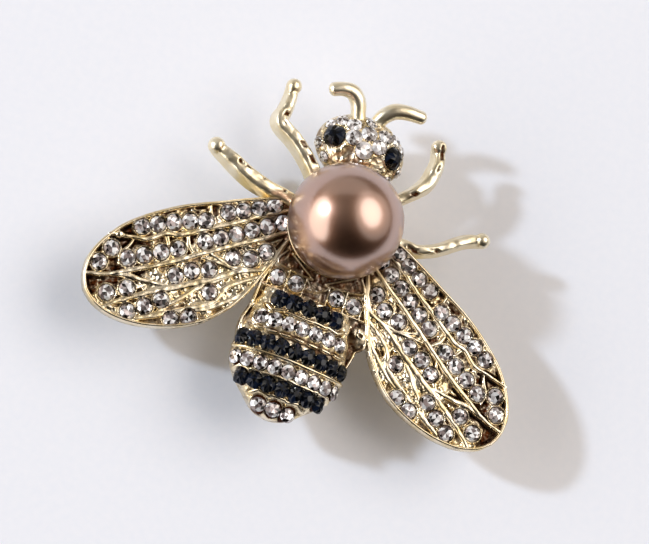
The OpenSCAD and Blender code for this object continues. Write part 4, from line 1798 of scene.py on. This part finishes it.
@dataclass
class Studio:
    """Camera at the photo's angle, white paper, and soft light from the upper left."""

    distance: float = 0.42
    pixels_mm: float = 9.75
    image: tuple[int, int] = (649, 544)
    pearl_px: tuple[float, float] = (346.0, 221.0)
    turns_deg: tuple[float, float, float] = (-14.46261208, 9.36756094, -19.1131232)
    sensor_mm: float = 36.0
    paper_m: float = 3.0
    # Strength of the room's light low in the picture, high in it, and where the room is seen
    dark: float = 0.005
    dim: float = 0.17
    pale: float = 0.9
    fade: tuple[float, float] = (-0.4, 0.5)
    room: str = "#fceedf"

    def axes(self) -> np.ndarray:
        """Works out the camera's directions before it is aimed at the image's middle.

        Returns:
            Its right, up and back directions, a row for each.
        """
        rx, ry, rz = (math.radians(turn) for turn in self.turns_deg)
        turned = Matrix.Rotation(rz, 3, "Z") @ Matrix.Rotation(rx, 3, "X")
        return np.array(turned @ Matrix.Rotation(ry, 3, "Y"))

    def place_camera(self) -> None:
        """Adds the camera, aimed at the point behind the middle of the image."""
        right, up, back = self.axes()
        focal = self.pixels_mm * self.distance / MM
        dx, dy = self.image[0] / 2 - self.pearl_px[0], self.pearl_px[1] - self.image[1] / 2
        forward = unit(dx * right + dy * up - focal * back)
        level = unit(right - (right @ forward) * forward)
        data = bpy.data.cameras.new("camera")
        data.sensor_width = self.sensor_mm
        data.lens = self.sensor_mm * focal / self.image[0]
        camera = bpy.data.objects.new("camera", data)
        spot = np.array([0, AT.pearl_y, AT.pearl_z]) * MM + back * self.distance
        stand_at(camera, spot, [level, np.cross(level, forward), -forward])
        bpy.context.scene.camera = camera

    def lay_paper(self) -> None:
        """Lays the sheet of paper under the brooch."""
        deselect()
        bpy.ops.mesh.primitive_plane_add(size=self.paper_m)
        paper = bpy.context.active_object
        paper.name = "paper"
        paper.data.materials.append(StudioPaper().make())
        paper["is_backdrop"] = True

    def surround(self) -> None:
        """Makes the room: pale where it is seen, else a dim light that is darkest low in the picture."""
        world = bpy.data.worlds.new("studio")
        bpy.context.scene.world = world
        world.use_nodes = True
        tree = world.node_tree
        toward = add(tree, "ShaderNodeTexCoord")
        rise = add(tree, "ShaderNodeVectorMath", {"operation": "DOT_PRODUCT", 1: tuple(self.axes()[1])},
                   {0: toward.outputs["Generated"]})
        glow = add(tree, "ShaderNodeMapRange", {"From Min": self.fade[0], "From Max": self.fade[1],
                                                "To Min": self.dark, "To Max": self.dim},
                   {"Value": rise.outputs["Value"]})
        path = add(tree, "ShaderNodeLightPath")
        seen = add(tree, "ShaderNodeMix", {3: self.pale},
                   {0: path.outputs["Is Camera Ray"], 2: glow.outputs["Result"]})
        sky = tree.nodes["Background"]
        sky.inputs["Color"].default_value = linear(self.room)
        tree.links.new(seen.outputs[0], sky.inputs["Strength"])

    def build(self) -> None:
        """Sets up the camera, the paper, the lights and the surrounding glow."""
        self.place_camera()
        self.lay_paper()
        for softbox in SOFTBOXES:
            softbox.place(self.axes())
        self.surround()
        bpy.context.scene.view_settings.view_transform = "Standard"


# The whole brooch

# Legs: [piece, direction of its root from the pearl, and the knuckles from there in mm, each
# across, along, height and width]
LEGS = (
    ("leg_front_left", 132, (
        (0.4, -0.6, 1.52, 1.8), (-1.6, 1.5, 1.8, 1.8), (-3.6, 3.0, 1.9, 1.8), (-5.6, 4.2, 1.9, 1.8),
        (-5.5, 5.5, 1.7, 1.55), (-5.4, 6.9, 1.6, 1.44), (-5.5, 8.3, 1.15, 1.3))),
    ("leg_front_right", 42, (
        (-0.6, -0.4, 1.15, 1.2), (1.3, 1.7, 1.33, 1.2), (2.4, 2.85, 1.6, 1.35), (3.35, 4.2, 1.7, 1.6),
        (3.7, 5.7, 1.6, 1.62), (3.75, 6.9, 1.52, 1.5), (3.3, 8.3, 1.33, 1.3))),
    ("leg_middle_left", 172, (
        (0.8, 0, 1.52, 1.7), (-1.3, 0.3, 1.7, 1.8), (-2.8, 0.4, 1.9, 1.9), (-4.45, 0.75, 1.9, 2.0),
        (-6.0, 1.3, 1.9, 1.94), (-7.6, 2.0, 1.8, 1.8), (-9.3, 2.65, 1.33, 1.4))),
    ("leg_middle_right", 8, (
        (-0.8, 0, 1.15, 1.25), (2.1, 0.1, 1.43, 1.35), (3.1, 0.0, 1.52, 1.35), (4.3, 0.45, 1.52, 1.3),
        (5.5, 1.1, 1.52, 1.3), (7.8, 2.9, 1.43, 1.35), (9.45, 3.55, 1.33, 1.3))))

# Antennae: [side, and the bends from the head's brow in mm, each across, along, height and thickness]
ANTENNAE = (
    (Side.LEFT, (
        (-1.23, -0.88, 1.12, 1.45), (-1.58, 0.09, 1.3, 1.45), (-2.02, 1.1, 1.61, 1.5),
        (-2.9, 1.76, 1.92, 1.5), (-4.0, 1.72, 2.1, 1.39), (-5.0, 1.29, 2.05, 1.33))),
    (Side.RIGHT, (
        (0.44, -0.97, 1.12, 1.45), (0.7, 0.0, 1.3, 1.45), (1.14, 0.84, 1.61, 1.52),
        (2.02, 1.58, 1.86, 1.56), (3.34, 1.89, 1.98, 1.42), (4.85, 1.98, 1.86, 1.3))))

# Small round knob near the left wing's tip, [half width, height, places along and out] in mm
LEFT_WING_KNOBS = ((0.34, 0.45, ((17.0, 4.25), (17.2, 4.3))),)

# CAD nodes of the stone rows on the abdomen, from the pearl to the tail
TAIL_ROWS = ("stripe_1_navy", "stripe_2_clear", "stripe_3_navy", "stripe_4_clear", "stripe_5_navy",
             "tail_stones")

# Growth of the stones across and along the body, which hides the seats' gaps as in the photo
ROUND_GROWTH, PAVED_GROWTH, EYE_GROWTH = (1.08, 1.08), (1.24, 1.24), (1.02, 1.02)
CLEAR_ROW_GROWTH, NAVY_ROW_GROWTH = (1.06, 1.16), (1.11, 1.3)

# Stone pieces: [piece, CAD node, kind, growth]
STONES = (
    ("clear_stones_wing_left", "wing_stones_left", StoneKind.CLEAR, ROUND_GROWTH),
    ("clear_stones_wing_right", "wing_stones_right", StoneKind.CLEAR, ROUND_GROWTH),
    ("clear_stones_head", "head_stones", StoneKind.BRIGHT, PAVED_GROWTH),
    ("clear_stones_collar", "collar_stones", StoneKind.CLEAR, ROUND_GROWTH),
    ("navy_stones_first_stripe", "stripe_1_navy", StoneKind.NAVY, NAVY_ROW_GROWTH),
    ("clear_stones_second_stripe", "stripe_2_clear", StoneKind.CLEAR, CLEAR_ROW_GROWTH),
    ("navy_stones_third_stripe", "stripe_3_navy", StoneKind.NAVY, NAVY_ROW_GROWTH),
    ("clear_stones_fourth_stripe", "stripe_4_clear", StoneKind.CLEAR, CLEAR_ROW_GROWTH),
    ("navy_stones_fifth_stripe", "stripe_5_navy", StoneKind.NAVY, NAVY_ROW_GROWTH),
    ("clear_stones_tail", "tail_stones", StoneKind.CLEAR, ROUND_GROWTH),
    ("navy_eye_left", "eye_left", StoneKind.NAVY, EYE_GROWTH),
    ("navy_eye_right", "eye_right", StoneKind.NAVY, EYE_GROWTH))
FIRST_STONE_SEED = 100


def main() -> None:
    """Builds the studio and every piece of the brooch, in order."""
    logging.basicConfig(level=logging.INFO, format="%(name)s %(message)s")
    Studio().build()
    gold = GoldPlate().make()
    # A paler, rougher copy of the gold for the legs and antennae; its paler colour paints their brighter
    # highlights
    satin = GoldPlate("satin_gold_plate", "#fcf2d8", "#f2e3bf", roughness=(0.24, 0.38),
                      peel_depth=0.03).make()
    glasses = {
        StoneKind.CLEAR: CutStone("clear_cut_glass", "#0a0605", "#91817f", "#ffffff",
                                  metallic=0.45, roughness=0.06, coat=1.0).make(),
        # Lighter painted glints on the head's clear stones
        StoneKind.BRIGHT: CutStone("bright_cut_glass", "#4a413c", "#d8d0cc", "#ffffff",
                                   metallic=0.4, roughness=0.1, coat=1.0).make(),
        StoneKind.NAVY: CutStone("navy_cut_glass", "#010203", "#04060b", "#0f1727",
                                 metallic=0.0, roughness=0.12, coat=0.0, specular=0.35).make()}
    Wing(Side.LEFT, read_seats("wing_stones_left"), knobs=LEFT_WING_KNOBS).build(gold)
    Wing(Side.RIGHT, read_seats("wing_stones_right")).build(gold)
    Collar(read_seats("collar_stones")).build(gold)
    PearlCup().build(gold)
    Abdomen([read_seats(node) for node in TAIL_ROWS]).build(gold)
    Head(read_seats("head_stones") + read_seats("eye_left") + read_seats("eye_right")).build(gold)
    for name, root_deg, knuckles in LEGS:
        Leg(name, root_deg, knuckles).build(satin)
    for side, bends in ANTENNAE:
        Antenna(side, bends).build(satin)
    for seed, (name, node, kind, swell) in enumerate(STONES, FIRST_STONE_SEED):
        Stones(name, node, kind, swell, seed).build(glasses[kind])
    Pearl().build(PearlLacquer().make())
    PinBack().build(PinPlate().make())
    boxes = [[list(corner) for corner in box] for box in (CAD_BOX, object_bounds())]


if __name__ == "__main__":
    main()
